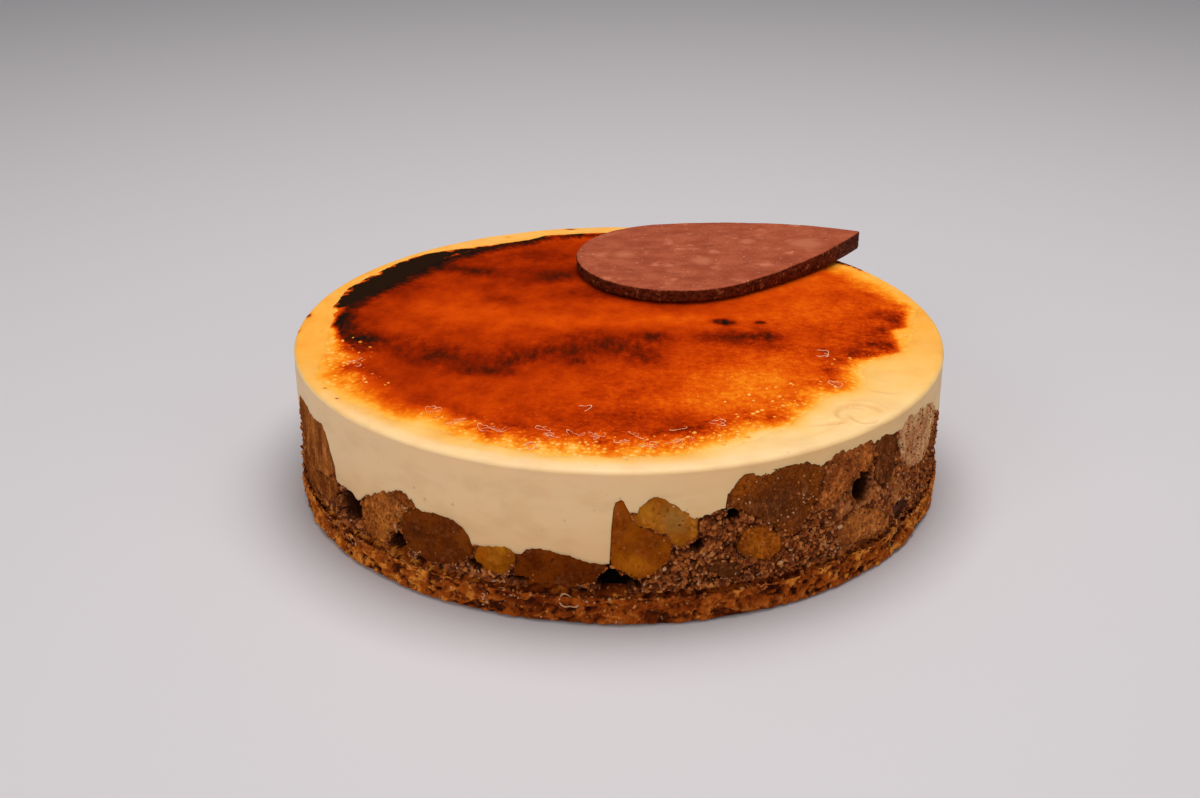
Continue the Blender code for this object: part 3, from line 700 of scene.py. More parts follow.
apple_finishes = {name: apple_finish("flesh_" + name, *look, DABS.get(name, ()))
                  for name, (slot, *look) in APPLES.items()}
stewed = [(name, name) for name in APPLES]
stewed += [(f"piece_back_{number:02d}", like) for number, like in enumerate(BACK_APPLES, start=1)]
fruit_pieces = []
for seed, (name, like) in enumerate(stewed, start=20):
    slot, flesh, patches, fibre, contrast, dusty = APPLES[like]
    voxel = APPLE_VOXEL if name == like else APPLE_BACK_VOXEL
    piece = copied("apple_" + name, "stewed_" + name, voxel, 2)
    places = corners(piece)
    grainy = lumps(places, 1.5, seed, (1, 1, 1 / fibre))
    uneven = lumps(places, 3.2, seed + 50)
    broad = lumps(places, 9, seed + 90)
    gritty = grains(places, 1.1, seed + 130)
    swell = APPLE_SWELL + (0.25 * grainy + 0.75 * uneven) * MM
    places += outward_normals(piece) * swell[:, None]
    angle, radius, height = polar(places)
    dent = 0.30 + 0.26 * grainy + 0.20 * uneven + 0.45 * broad - (0.1 + 0.35 * dusty) * (gritty - 0.5)
    dent = np.clip(dent, 0, 1.5)
    radius, in_pocket = scooped(angle, np.minimum(radius, APPLE_FACE - dent * MM), height)
    reshape(piece, at(angle, radius, np.maximum(height, APPLE_FOOT)))
    facing = (outward_normals(piece) * at(angle, 1, 0)).sum(axis=1) > 0.45
    # rim and hollow feed the painted shade at the outline and in the air pockets
    rim = nearness(corners(piece), facing & (radius > 96.5 * MM), APPLE_RIM)
    marked(piece, hollow=in_pocket, rim=rim, relief=0.5 - dent)
    dress(piece, apple_finishes[like], "apple_" + slot, "apple_" + name)
    fruit_pieces.append(piece)

# Loose crumbs: crumble and biscuit that broke off against the ring. They cling to the wall
# between the fruit, lie on the step above the base, and a few stick to the fruit itself.
CRUMB_DRAWS = 13000
STEP_DRAWS = 3600
FLAKE_DRAWS = 420
# the stretch of wall that many crumbs cling to in degrees, and the heights they lie at in mm
CRUMBLY_STRETCH = (275, 347)
CRUMB_HEIGHTS = (9.9, 41)
# every fifth corner of a seam gets a crumb, up to this many to a piece
SEAM_SHARE = 5
SEAM_MOST = 130
# whitish crumbs that lie together: azimuth, height and spread in mm, how many, size in mm
PALE_CLUSTERS = (
    (305.6, 15.0, 1.3, 16, 1.5), (308.4, 12.3, 0.9, 9, 1.4), (302.1, 18.9, 1.8, 10, 1.0),
    (291.3, 14.7, 1.6, 12, 0.9), (286.8, 31.6, 1.0, 8, 0.8), (299.8, 31.8, 1.2, 7, 0.8),
    (302.3, 32.7, 1.0, 5, 0.8), (323.3, 7.0, 1.2, 12, 1.4), (332.4, 6.7, 1.8, 12, 1.3),
    (338.2, 8.3, 1.6, 10, 1.3), (232.9, 14.0, 1.2, 12, 0.8), (235.2, 11.4, 0.8, 9, 0.9),
    (232.4, 22.0, 1.0, 9, 0.9), (231.7, 18.1, 0.8, 7, 1.1), (222.3, 9.6, 1.8, 12, 1.2),
    (219.6, 5.0, 1.4, 8, 1.2), (211.8, 2.4, 0.9, 5, 1.2), (218.6, 21.0, 1.3, 14, 1.1),
    (235.6, 11.2, 1.0, 12, 1.0), (233.9, 24.8, 0.8, 8, 1.0), (252.6, 12.3, 0.8, 12, 1.0),
    (249.0, 4.6, 1.2, 10, 1.7), (253.3, 6.5, 1.8, 14, 1.0), (265.0, 6.5, 1.6, 8, 1.0),
    (270.6, 1.2, 0.7, 7, 1.3), (276.0, 8.6, 1.8, 9, 0.8), (150, 15, 3.0, 14, 1.2),
    (75, 13, 2.6, 12, 1.1), (20, 12, 2.4, 12, 1.2), (120, 5, 3.0, 12, 1.3), (45, 6, 3.0, 10, 1.3))
# pale curled edges of flakes on the base: azimuth, height, and the two widths in mm
CURLS = (
    (245.4, 3.8, 4.6, 2.0), (250.9, 6.4, 3.4, 3.2), (252.8, 4.4, 2.6, 2.0), (262.4, 7.2, 4.8, 3.4),
    (265.3, 5.0, 2.6, 2.4), (322.9, 4.8, 1.6, 3.6), (233.5, 9.0, 3.0, 1.8), (100, 5, 4, 2.5),
    (160, 6, 3, 3), (30, 5, 3.5, 2))
CURL_SUNK = 0.45 * MM
CURL_THICKNESS = 2.6
CRUMB_LIMIT = 100.65
TABLE_GAP = 0.02 * MM
LUCK_SEED = 61

luck = np.random.default_rng(LUCK_SEED)
wall_tree = measured(filling.data)
base_tree = measured(biscuit.data)
fruit_trees = [(measured(piece.data), APPLES[like][5]) for piece, (name, like) in zip(fruit_pieces, stewed)]


def seed_shape(add, **settings):
    """The points and faces of a small shape, of which many copies are strewn."""
    bpy.ops.object.select_all(action="DESELECT")
    add(location=(0, 0, 0), **settings)
    seed = bpy.context.object
    points, faces = corners(seed), np.array([tuple(face.vertices) for face in seed.data.polygons])
    bpy.data.objects.remove(seed)
    return points, faces


def strewn(name, seed, spots, jag, sway=0.0):
    """One piece of many small ones: each spot is a place, the way it faces, sizes in mm, a shade."""
    shape, shape_faces = seed
    points, faces, shades = [], [], []
    round_it = np.arctan2(shape[:, 1], shape[:, 0])[:, None]
    for number, (place, facing, sizes, shade) in enumerate(spots):
        axis = np.array(facing) / np.linalg.norm(facing)
        across = np.cross(axis, luck.normal(size=3))
        across /= np.linalg.norm(across)
        turn = np.stack([across, np.cross(axis, across), axis])
        knocked = shape * (1 + jag * luck.uniform(-1, 1, (len(shape), 1)))
        if sway:
            first, second = luck.uniform(0, math.tau, 2)
            knocked *= 1 + sway * (np.sin(2 * round_it + first) + np.sin(3 * round_it + second))
        laid = knocked * (np.array(sizes) * MM / 2) @ turn + np.array(place)
        laid[:, 2] = np.maximum(laid[:, 2], TABLE_GAP)
        out = np.hypot(laid[:, 0], laid[:, 1])[:, None]
        laid[:, :2] *= np.minimum(1, BASE_LIMIT * MM / out)
        points.append(laid)
        faces.append(shape_faces + number * len(shape))
        shades.append(np.full(len(shape), shade))
    mesh = bpy.data.meshes.new(name)
    mesh.from_pydata(np.concatenate(points).tolist(), [], np.concatenate(faces).tolist())
    piece = bpy.data.objects.new(name, mesh)
    bpy.context.collection.objects.link(piece)
    marked(piece, shade=np.concatenate(shades))
    return piece


def kept_in(place, size):
    """Moves a crumb in, so that it doesn't stand out past the base."""
    place = np.array(place)
    out = np.hypot(place[0], place[1])
    place[:2] *= min(1, (CRUMB_LIMIT - 0.4 * size) * MM / out)
    return place


def crumb_sizes(size, longest=1.5):
    """A crumb's three sizes: it is longer than wide, and flatter."""
    return size * luck.uniform(0.9, longest), size, size * luck.uniform(0.6, 1.0)


def brink(angle, clearance):
    """How high a crumb may lie at that angle, so far under the cream's edge."""
    return edge_height[np.floor(angle / math.tau * CREAM_COLUMNS).astype(int) % CREAM_COLUMNS] - clearance


brown_spots, pale_spots = [], []
for draw in range(CRUMB_DRAWS):
    a = math.radians(luck.uniform(*CRUMBLY_STRETCH)) if luck.random() < 0.4 else luck.uniform(0, math.tau)
    height = luck.uniform(*CRUMB_HEIGHTS) * MM
    chance, big, tint = luck.random(), luck.random(), luck.random()
    if height > brink(a, 0.8 * MM):
        continue
    hit, normal, out = met(wall_tree, a, height)
    clings = 0.75 if out > 97.5 * MM else 0.05
    for tree, dusty in fruit_trees:
        fruit_hit, fruit_normal, fruit_out = met(tree, a, height)
        if fruit_out > out:
            hit, normal, out, clings = fruit_hit, fruit_normal, fruit_out, 0.02 + 0.16 * dusty
    if hit is None or chance > clings:
        continue
    on_fruit = clings < 0.2 and out > 97 * MM
    if not on_fruit and big < 0.75 * pressed_smooth(math.degrees(a), height / MM):
        continue
    size = 0.35 + (0.35 if on_fruit else 1.15) * big ** 1.7
    sizes = crumb_sizes(size)
    spot = kept_in(hit + normal * size * 0.15 * MM, size)
    if tint < (0.06 if on_fruit else 0.02):
        pale_spots.append((spot, normal, sizes, big))
    else:
        brown_spots.append((spot, normal, sizes, tint))
for draw in range(STEP_DRAWS):
    a, out = luck.uniform(0, math.tau), luck.uniform(98.6, 100.6) * MM
    hit, normal = dropped_on(base_tree, out * math.cos(a), out * math.sin(a), 14 * MM)
    size = 0.4 + 0.9 * luck.random() ** 1.6
    sizes = crumb_sizes(size)
    if hit and hit.z > 8 * MM and luck.random() < 0.35 + 0.65 * (noise.noise(hit * 120) > 0):
        spots = pale_spots if luck.random() < 0.02 else brown_spots
        spots.append((kept_in(hit + normal * size * 0.2 * MM, size), normal, sizes, luck.random()))
for draw in range(FLAKE_DRAWS):
    a, height = luck.uniform(0, math.tau), luck.uniform(0.6, 9.4) * MM
    hit, normal, out = met(base_tree, a, height)
    long = 0.7 + 1.7 * luck.random() ** 2.5
    if hit and luck.random() < 0.25 + 0.75 * (noise.noise(hit * 90) > 0.1):
        spots = pale_spots if luck.random() < 0.3 else brown_spots
        sizes = (long, long * luck.uniform(0.35, 0.7), 0.3)
        spots.append((kept_in(hit, 0.3), normal, sizes, luck.random()))

for piece in fruit_pieces:
    places = corners(piece)
    rim = np.empty(len(places), dtype=np.float32)
    piece.data.attributes["rim"].data.foreach_get("value", rim)
    angle, radius, height = polar(places)
    on_face = (radius > 98 * MM) & (height < brink(angle, 0.9 * MM)) & (height > 10.8 * MM)
    seam = np.flatnonzero((rim > 0.85) & on_face)
    if len(seam):
        for number in luck.choice(seam, min(len(seam) // SEAM_SHARE, SEAM_MOST), replace=False):
            size = 0.35 + 0.75 * luck.random() ** 1.8
            facing = Vector((math.cos(angle[number]), math.sin(angle[number]), luck.uniform(-0.3, 0.5)))
            spot = kept_in(places[number] + np.array(facing) * luck.uniform(-0.1, 0.5) * MM, size)
            brown_spots.append((spot, facing, crumb_sizes(size, 1.7), luck.random()))

every_tree = (wall_tree, base_tree, *(tree for tree, dusty in fruit_trees))
for azimuth, level, spread, count, largest in PALE_CLUSTERS:
    for draw in range(count):
        a = math.radians(azimuth) + luck.normal() * spread / WALL_RADIUS
        hits = [met(tree, a, max(level + luck.normal() * spread, 0.5) * MM) for tree in every_tree]
        hit, normal, out = max(hits, key=lambda found: found[2])
        long = largest * luck.uniform(0.35, 1)
        if hit:
            sizes = (long, long * luck.uniform(0.4, 0.8), 0.35)
            pale_spots.append((kept_in(hit, 0.3), normal, sizes, luck.random()))

finish = Finish("loose_brown_crumb", Roughness=0.75, Specular_IOR_Level=0.05)
place = finish.place
shade = finish.attribute("shade") + (place.noise(0.0006) - 0.5) * 0.5
colour = shade.node("ValToRGB", {0: shade}, stops=(
    (0.0, (0.08, 0.017, 0.005)), (0.35, (0.19, 0.042, 0.009)), (0.7, (0.38, 0.094, 0.017)),
    (1.0, (0.62, 0.225, 0.062))))
# painted shade: crumbs lying deep in the gaps, inside 96 to 98.7 mm, are made near black
colour = place.radius().fade(0.0960, 0.0987, (0.010, 0.003, 0.001), colour)
finish.paint("Base Color", colour)
finish.relief(place.noise(0.0004), 0.0002)
BALL = seed_shape(bpy.ops.mesh.primitive_ico_sphere_add, subdivisions=1, radius=1.0)
crumbs = strewn("loose_crumbs", BALL, brown_spots, 0.28)
dress(crumbs, finish, "crumb_filling", smooth_angle=35)

finish = Finish("pale_biscuit_flake", Roughness=0.7, Specular_IOR_Level=0.05)
place = finish.place
shade = finish.attribute("shade") + (place.noise(0.0008) - 0.5) * 0.6
finish.paint("Base Color", shade.fade(0.1, 0.9, (0.36, 0.135, 0.05), (0.60, 0.325, 0.165)))
finish.relief(place.noise(0.0004), 0.0002)
flakes = strewn("pale_flakes", BALL, pale_spots, 0.25)
dress(flakes, finish, "biscuit", smooth_angle=25)

CURL = seed_shape(bpy.ops.mesh.primitive_torus_add, major_segments=18, minor_segments=6,
                  major_radius=1.0, minor_radius=0.13)
curl_spots = []
for azimuth, level, long, wide in CURLS:
    a = math.radians(azimuth)
    hit, normal, out = met(base_tree, a, level * MM)
    facing = Vector((math.cos(a), math.sin(a), luck.uniform(-0.3, 0.3)))
    curl_spots.append((hit - facing * CURL_SUNK, facing, (long, wide, CURL_THICKNESS), luck.random()))
curls = strewn("pale_curls", CURL, curl_spots, 0.0, sway=0.16)
dress(curls, finish, "biscuit")

# The cream: a smooth vanilla cream poured over the filling and set in the ring, so its wall is
# as smooth as the ring, its rim is rounded, and its lower edge follows the fruit it ran over.
CREAM_TOP = 46.6
RIM_FOOT = 44.9
RIM_ROUND = 1.7
CREAM_FOOT = 20
CREAM_ROWS = 27
RIM_ROWS = 7
TOP_ROWS = 29
EDGE_LAP = 0.5 * MM
# ragged stretches of the lower edge: first and last azimuth in degrees, depth in mm
RAGGED = ((180, 238, 1.2), (283, 346, 1.4), (20, 170, 0.9))
RAGGED_ELSEWHERE = 0.45
# dents where air bubbles burst against the ring: azimuth, height and radius in mm
PORES = (
    (236.5, 33, 0.6), (238.6, 30.4, 0.8), (243.8, 31.2, 0.6), (247.8, 37.8, 0.4), (229, 36.5, 0.45),
    (262, 31.5, 0.5), (258.5, 28, 0.35), (266.5, 35, 0.35), (215.5, 40, 0.4), (252.6, 34.4, 0.4),
    (122, 33, 0.6), (95, 36, 0.5), (60, 34, 0.6), (30, 38, 0.5))
# folds in the top where the ring was lifted off: centre x and y, radius, first and last
# azimuth of the arc, width and height in mm
FOLDS = (
    (67, -64, 8.0, 10, 215, 1.1, 0.42), (68, -66, 5.0, 150, 350, 1.0, 0.36),
    (66, -62, 4.0, 20, 160, 0.9, 0.26), (52, -54, 19, 262, 318, 1.0, 0.36),
    (20, -30, 66, 286, 316, 1.0, 0.34), (24, -36, 52, 296, 330, 1.2, 0.26),
    (30, -30, 58, 280, 300, 0.9, 0.24), (60, -80, 12, 60, 130, 1.0, 0.28),
    (78, -42, 9, 200, 300, 1.2, 0.24))
# smears that the scraper drew low on the wall: azimuth, height, half length in degrees and mm
DRAGS = (
    (266, 25.5, 3.5, 0.45), (263.5, 23.3, 4.5, 0.4), (256, 27.0, 3.0, 0.35), (243, 33.0, 4.0, 0.3),
    (220, 32, 3.0, 0.35), (280, 37.5, 3.0, 0.3))
DRAG_DEPTH = 0.24

lap = -widest(-edge_height) - EDGE_LAP
edge_places = at(around(CREAM_COLUMNS), WALL_RADIUS * MM, lap)
ragged, turn = np.full(CREAM_COLUMNS, RAGGED_ELSEWHERE), np.degrees(around(CREAM_COLUMNS))
for first, last, depth in RAGGED:
    ragged[(turn > first) & (turn < last)] = depth
teeth = (0.9 * lumps(edge_places, 5.5, 31) + 0.55 * lumps(edge_places, 2.3, 32)
         + 0.4 * lumps(edge_places, 1.0, 36))
cream_foot = np.minimum(lap + smoothed(ragged, 41) * teeth * MM, lap + 0.45 * MM)

cream_profile = [(0, 24), (60, 24), (85, 22), (95, 20.4), (98.2, 20.1), (99.3, CREAM_FOOT)]
cream_profile += [(WALL_RADIUS, CREAM_FOOT + (RIM_FOOT - CREAM_FOOT) * row / CREAM_ROWS)
                  for row in range(CREAM_ROWS + 1)]
for step in range(1, RIM_ROWS + 1):
    turn = math.pi / 2 * step / RIM_ROWS
    cream_profile.append((WALL_RADIUS - RIM_ROUND * (1 - math.cos(turn)),
                          RIM_FOOT + RIM_ROUND * math.sin(turn)))
cream_profile += [(97.5 - 0.9 * row, CREAM_TOP) for row in range(TOP_ROWS)]
cream_profile += [(r, CREAM_TOP) for r in (70, 60, 30, 0)]
cream = turned("vanilla_cream", cream_profile, CREAM_COLUMNS)
angle, radius, height = polar(corners(cream))
wall = (radius > 99.9 * MM) & (height < (RIM_FOOT + 0.01) * MM)
under = ~wall & (height < 30 * MM)
upper = ~wall & ~under
share = np.clip((RIM_FOOT * MM - height) / ((RIM_FOOT - CREAM_FOOT) * MM), 0, 1)
foot_here = np.minimum(cream_foot[column_at(angle, CREAM_COLUMNS)], (RIM_FOOT - 0.6) * MM)
under_height = FILLING_HEART * MM + (foot_here - FILLING_HEART * MM) * rising(radius / MM, 80, 19)
height = np.where(wall, RIM_FOOT * MM - share * (RIM_FOOT * MM - foot_here),
                  np.where(under, under_height, height))
places = at(angle, radius, height)
wave = 0.09 * lumps(places, 22, 33) + 0.035 * lumps(places, 6, 34, (1, 1, 2))
low = np.clip(1 - (height - foot_here) / (2.2 * MM), 0, 1)
sink = (0.12 + 0.15 * low ** 2 - wave) * MM
for azimuth, level, size in PORES:
    away = np.linalg.norm(places - np.array(on_wall(azimuth, level, WALL_RADIUS * MM)), axis=1)
    sink = sink + np.clip(1 - away / (size * MM), 0, 1) ** 0.5 * 0.6 * size * MM
for azimuth, level, half, thick in DRAGS:
    along = (np.degrees(angle) - azimuth) / half
    over = (height / MM - level - 0.5 * np.sin(along * 2)) / thick
    sink = sink - DRAG_DEPTH * MM * np.exp(-along ** 2 - over ** 2)
radius = np.where(wall, np.minimum(radius - sink, WALL_RADIUS * MM), radius)
swell = 0.09 * lumps(places, 9, 35) - 0.1
# crease: where the grooves beside the folds lie, for painted shade in them
crease = np.zeros(len(places))
for x, y, ring, first, last, width, lift in FOLDS:
    away_x, away_y = places[:, 0] / MM - x, places[:, 1] / MM - y
    turn = (np.degrees(np.arctan2(away_y, away_x)) - first) % 360
    ends = np.clip(np.minimum(turn, last - first - turn) / 25, 0, 1)
    off = (np.hypot(away_x, away_y) - ring) / width
    swell = swell + lift * ends * (np.exp(-off ** 2) - 0.8 * np.exp(-(off + 1.5) ** 2))
    crease += lift * ends * np.exp(-(1.6 * (off + 1.4)) ** 2)
raised = np.minimum(height + rising(height / MM, 45.2, 1.2) * swell * MM, (CREAM_TOP + 0.4) * MM)
height = np.where(upper, raised, height)
reshape(cream, at(angle, radius, height))
# painted highlight: the front of the rim, where the light catches its rounding, is made paler
front = rising(-places[:, 1] / MM, 35, 45)
bloom = rising(radius / MM, 93, 5) * front * rising(height / MM, 45.3, 0.9)
marked(cream, crease=np.where(upper, crease, 0), bloom=np.where(under, 0, bloom))

# The sugar on the cream: caster sugar strewn over the top and melted with a torch. Where little
# lay the cream is only toasted; the caramel proper is a glassy sheet, charred at the far left.
OUTLINE_COLUMNS = 720
OUTLINE_HEIGHT = 47.15 * MM
SHEET_BURN = 0.64
BARE_EDGE_BURN = 0.25
MOST_BURN = 0.93
# areas stronger than this are sooty too
SOOTY = 0.11
# width of the soft edge of the caramel, by azimuth in degrees, in mm
SOFT_EDGE = {
    0: 3, 8: 3.5, 16: 7, 24: 11, 45: 12, 80: 5, 95: 1.5, 180: 2, 189: 3, 194: 7, 200: 10, 205: 13,
    215: 13, 226: 10, 250: 11, 275: 13, 297: 10, 305: 7, 322: 7, 332: 8, 340: 5, 347: 2.5, 360: 3}
# how far the browning runs out past the sheet, by azimuth in degrees, in mm
EDGE_SHIFT = {
    0: -0.5, 5: 2.3, 9: 4.8, 12: 5.6, 16: 4.0, 20: 5.8, 32: 6, 40: 6.5, 50: 5, 65: 2, 80: 0, 176: 0,
    180: -0.7, 184: -3, 189: -3.2, 193: -2.5, 197: -0.8, 201: 2, 205: 4.6, 210: 2, 215: 2.4, 226: 2.6,
    233: -3, 240: 0.4, 250: -0.4, 258: 1.6, 268: 1, 280: 0.4, 290: -3.4, 298: -2.6, 304: 3.6, 310: 3.2,
    320: 3.6, 326: 2, 331: -1, 335: -1, 340: 0, 343: 1.5, 347.5: 2.6, 351: -1, 354.5: -5, 358: -4.8,
    360: -0.5}
# how toasted the bare cream is, by azimuth in degrees
TOAST = {
    0: 0.235, 30: 0.225, 90: 0.20, 150: 0.25, 190: 0.27, 215: 0.20, 240: 0.14, 270: 0.09, 300: 0.05,
    325: 0.08, 345: 0.18, 360: 0.235}
# how far the caramel has bubbled at its edge, by azimuth in degrees
FROTH = {
    0: 0.4, 60: 0.2, 90: 0, 180: 0, 187: 0.9, 207: 0.9, 218: 0.35, 236: 0.5, 246: 1, 292: 1, 310: 0.6,
    345: 0.7, 360: 0.4}
# darker and lighter areas: x, y, half width, half depth in mm, turn in degrees, strength
AREAS = (
    (-4, -15, 13, 8, 0, 0.16), (12, -9, 4, 3, 0, 0.15), (8, -25, 5, 6, 0, 0.12),
    (-12, -28, 5, 6, 0, 0.12), (-31, -27, 6, 6, -20, 0.17), (-21, -21, 5, 4, 0, 0.14),
    (-58, -22, 15, 8, -25, 0.13), (-46, -30, 11, 6, -30, 0.10), (-38, -37, 8, 3, 0, 0.12),
    (30, -9, 7, 4, 0, 0.14), (44, -8, 6, 3, 0, 0.14), (48, -14, 4, 5, 0, 0.12),
    (37, -14, 5, 4, 0, 0.10), (33, 3.5, 2.6, 1.7, -15, 0.50), (44.5, 3, 1.3, 1, 0, 0.40),
    (-50, 50, 9, 4, -15, 0.16), (-30, 46, 12, 6, 0, 0.08), (-20, 44, 6, 5, 0, 0.14),
    (-38, 22, 6, 5, 0, 0.10), (-12, 28, 9, 6, 0, 0.08), (8, 24, 16, 5, -20, 0.10),
    (-38, 66, 18, 10, 10, 0.08), (-22, 60, 10, 14, 0, 0.08), (-40, 35, 14, 8, 0, 0.05),
    (-66, 34, 6, 12, -30, 0.05), (-2, -70, 26, 8, 0, 0.02), (20, -76, 9, 4, 10, 0.10),
    (8, -66, 14, 6, 0, 0.04), (-64, -40, 9, 14, 25, 0.05), (-45, -8, 26, 8, -15, 0.03),
    (86, 9, 5, 6, 20, 0.13), (80, -15, 6, 3, -10, 0.16), (62, -20, 10, 3, -15, 0.12),
    (64, -35, 4, 3, 0, 0.14), (82, 33, 10, 7, -45, -0.08), (88, 20, 4, 9, 0, -0.10),
    (-78, 10, 5, 14, 0, 0.06), (-84, -8, 4, 7, 0, 0.19), (-87.5, 4, 4.5, 8, 0, 0.26),
    (-76, -12, 7, 4, 0, 0.14), (-80, 45, 8, 22, 30, 0.10), (-60, 58, 12, 8, 40, 0.10),
    (-50, 12, 14, 7, -15, -0.07), (-20, 3, 20, 5, -8, -0.055), (15, 5, 20, 5, 0, -0.08),
    (42, -45, 21, 15, 20, -0.21), (25, -60, 14, 6, 0, -0.08), (58, 40, 16, 14, 0, -0.12),
    (-60, -58, 8, 6, 30, 0.05), (-82, -35, 5, 12, 0, -0.03), (60, 12, 18, 9, 0, -0.10),
    (56, -17, 9, 5, 0, -0.09), (-20, -84, 20, 4, 0, -0.04), (-50, -70, 12, 5, 30, -0.02))
# burnt marks on the bare rim: x, y, half width, half depth in mm, strength
SCORCHES = (
    (75.5, 61.5, 1.1, 0.9, 0.55), (77.5, 60, 1.1, 0.9, 0.6), (79.5, 58.3, 1.1, 0.9, 0.6),
    (81.2, 56.4, 0.9, 1.0, 0.6), (82.6, 54.2, 0.8, 1.2, 0.55), (88, -8, 4, 5, 0.07),
    (82, -34, 4, 1.0, 0.06), (-17.5, 96, 2.4, 0.7, 0.45), (-98.5, 9, 0.8, 1.6, 0.5),
    (-99.3, -4, 0.6, 1.2, 0.35), (-84, -48, 0.5, 0.5, 0.4), (-79.5, -55, 0.5, 0.4, 0.5),
    (-40, 87, 1.2, 0.5, 0.3))
# colours from bare cream to black
SUGAR = (
    (0.0, (0.91, 0.605, 0.325)), (0.07, (0.94, 0.63, 0.30)), (0.16, (0.95, 0.53, 0.145)),
    (0.26, (0.94, 0.40, 0.045)), (0.36, (0.86, 0.23, 0.008)), (0.46, (0.74, 0.115, 0.003)),
    (0.56, (0.60, 0.058, 0.0015)), (0.66, (0.42, 0.030, 0.001)), (0.76, (0.23, 0.013, 0.0008)),
    (0.86, (0.09, 0.008, 0.0015)), (1.0, (0.012, 0.006, 0.004)))

caramel_solid = measured(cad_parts["caramel_top"].data)
outline_columns = around(OUTLINE_COLUMNS)
outline_reach = [reach(caramel_solid, a, OUTLINE_HEIGHT) for a in outline_columns]
outline_reach = smoothed(np.array(outline_reach), 9)


def sheet_edge(angle):
    """The radius at which the solid's sheet of caramel ends, in metres."""
    return np.interp(angle, outline_columns, outline_reach, period=math.tau)


def in_mm(table, angle):
    """Reads a table of azimuth and value, at angles in radians."""
    return np.interp(np.degrees(angle), list(table), list(table.values()))


def frothy(angle, inside, start):
    """How bubbled the caramel is that far inside its edge, in mm."""
    return in_mm(FROTH, angle) * rising(inside, start, 3) * np.clip((15 - inside) / 9, 0, 1)


def bell(along, over):
    return np.exp(-0.7 * (along ** 2 + over ** 2))


def sugared(piece, angle, radius, lit):
    """Stores how far the sugar is burnt, how sooty and how bubbled it is, on cream or caramel."""
    x, y = radius * np.cos(angle) / MM, radius * np.sin(angle) / MM
    inside = (sheet_edge(angle) - radius) / MM + in_mm(EDGE_SHIFT, angle)
    toast = in_mm(TOAST, angle)
    share = np.clip(inside / in_mm(SOFT_EDGE, angle), 0, 1)
    halo = toast + (BARE_EDGE_BURN - toast) * np.exp(np.minimum(inside, 0) / 3.2)
    burn = np.where(inside < 0, halo, BARE_EDGE_BURN + (SHEET_BURN - BARE_EDGE_BURN) * share)
    soot, scorched = np.zeros(len(burn)), np.zeros(len(burn))
    for centre_x, centre_y, half_x, half_y, turn, strength in AREAS:
        c, s = math.cos(math.radians(turn)), math.sin(math.radians(turn))
        along, over = (x - centre_x) * c + (y - centre_y) * s, (y - centre_y) * c - (x - centre_x) * s
        area = strength * bell(along / half_x, over / half_y) * share
        burn += area
        if strength > SOOTY:
            soot += area
    for centre_x, centre_y, half_x, half_y, strength in SCORCHES:
        scorched += strength * bell((x - centre_x) / half_x, (y - centre_y) / half_y)
    marked(piece, burn=np.clip(burn + 0.5 * scorched, 0, MOST_BURN) * lit, scorched=scorched * lit,
           soot=soot * lit, froth=frothy(angle, inside, -4) * lit)


def sugar_burn(finish):
    """How far the sugar is burnt, with its grain and clouds, and how bubbled it is there."""
    place, burn = finish.place, finish.attribute("burn")
    soot, froth = finish.attribute("soot"), finish.attribute("froth")
    cooked = burn.between(0.12, 0.5)
    cloud = place.noise(0.008, 3, (1, 0.75, 1))
    mottle = place.noise(0.0018, 3, shift=2.2)
    grainy = 0.09 + 0.22 * (place.axis(0) - place.axis(1)).between(0.0, 0.08)
    streak = place.noise(0.0022, 4, (1.3, 0.45, 1), 6.0)
    bubble = place.cells(0.0021).between(0.12, 0.48)
    small_bubble = place.cells(0.0012, shift=0.7).between(0.1, 0.5)
    froth_shade = (bubble * 0.7 + small_bubble * 0.3 - 0.66) * 0.22 * froth
    blotch = place.noise(0.0060, shift=5.5)
    burn = burn + cooked * ((cloud - 0.5) * 0.26 + (mottle - 0.5) * grainy + (blotch - 0.5) * 0.8 * froth)
    burn = burn + soot * (streak - 0.45) * 2.2 + froth_shade * burn.between(0.14, 0.3)
    burn = burn - (1 - place.cells(0.0015, (1, 1.3, 1)).between(0.1, 0.3)) * cooked * grainy * 0.35
    return (burn + (cloud - 0.5) * 0.10 * (1 - cooked)).clamped(), froth, bubble


sugared(cream, angle, radius, np.where(under, 0, rising(height / MM, 45.1, 1.3)))
finish = Finish("set_cream", Roughness=0.42, Specular_IOR_Level=0.15, Subsurface_Weight=0.3,
                Subsurface_Radius=(1.0, 0.5, 0.25), Subsurface_Scale=0.003)
place = finish.place
burn, froth, bubble = sugar_burn(finish)
colour = burn.node("ValToRGB", {0: burn}, stops=SUGAR)
specks = place.cells(0.0068, (1, 1, 0.8)).between(0.02, 0.09)
colour = (0.45 + specks * 0.55).mixed((0.42, 0.16, 0.045), colour)
scorched = finish.attribute("scorched") + (place.noise(0.0012) - 0.5) * 0.3
colour = scorched.fade(0.16, 0.42, colour, (0.075, 0.026, 0.010))
bloom = finish.attribute("bloom") + (place.noise(0.006, 3, shift=6.4) - 0.5) * 0.5
# painted highlight: paler cream along the front of the rim
colour = (bloom.between(0.1, 0.9) * 0.5).mixed(colour, (0.94, 0.68, 0.42))


def dent_shade(azimuth, level, size):
    """1 in the middle of a dent in the wall, and 0 outside it."""
    size *= MM
    away = place.away(on_wall(azimuth, level, WALL_RADIUS * MM)) + (place.noise(0.001) - 0.5) * size
    return 1 - away.between(0.3 * size, 1.1 * size)
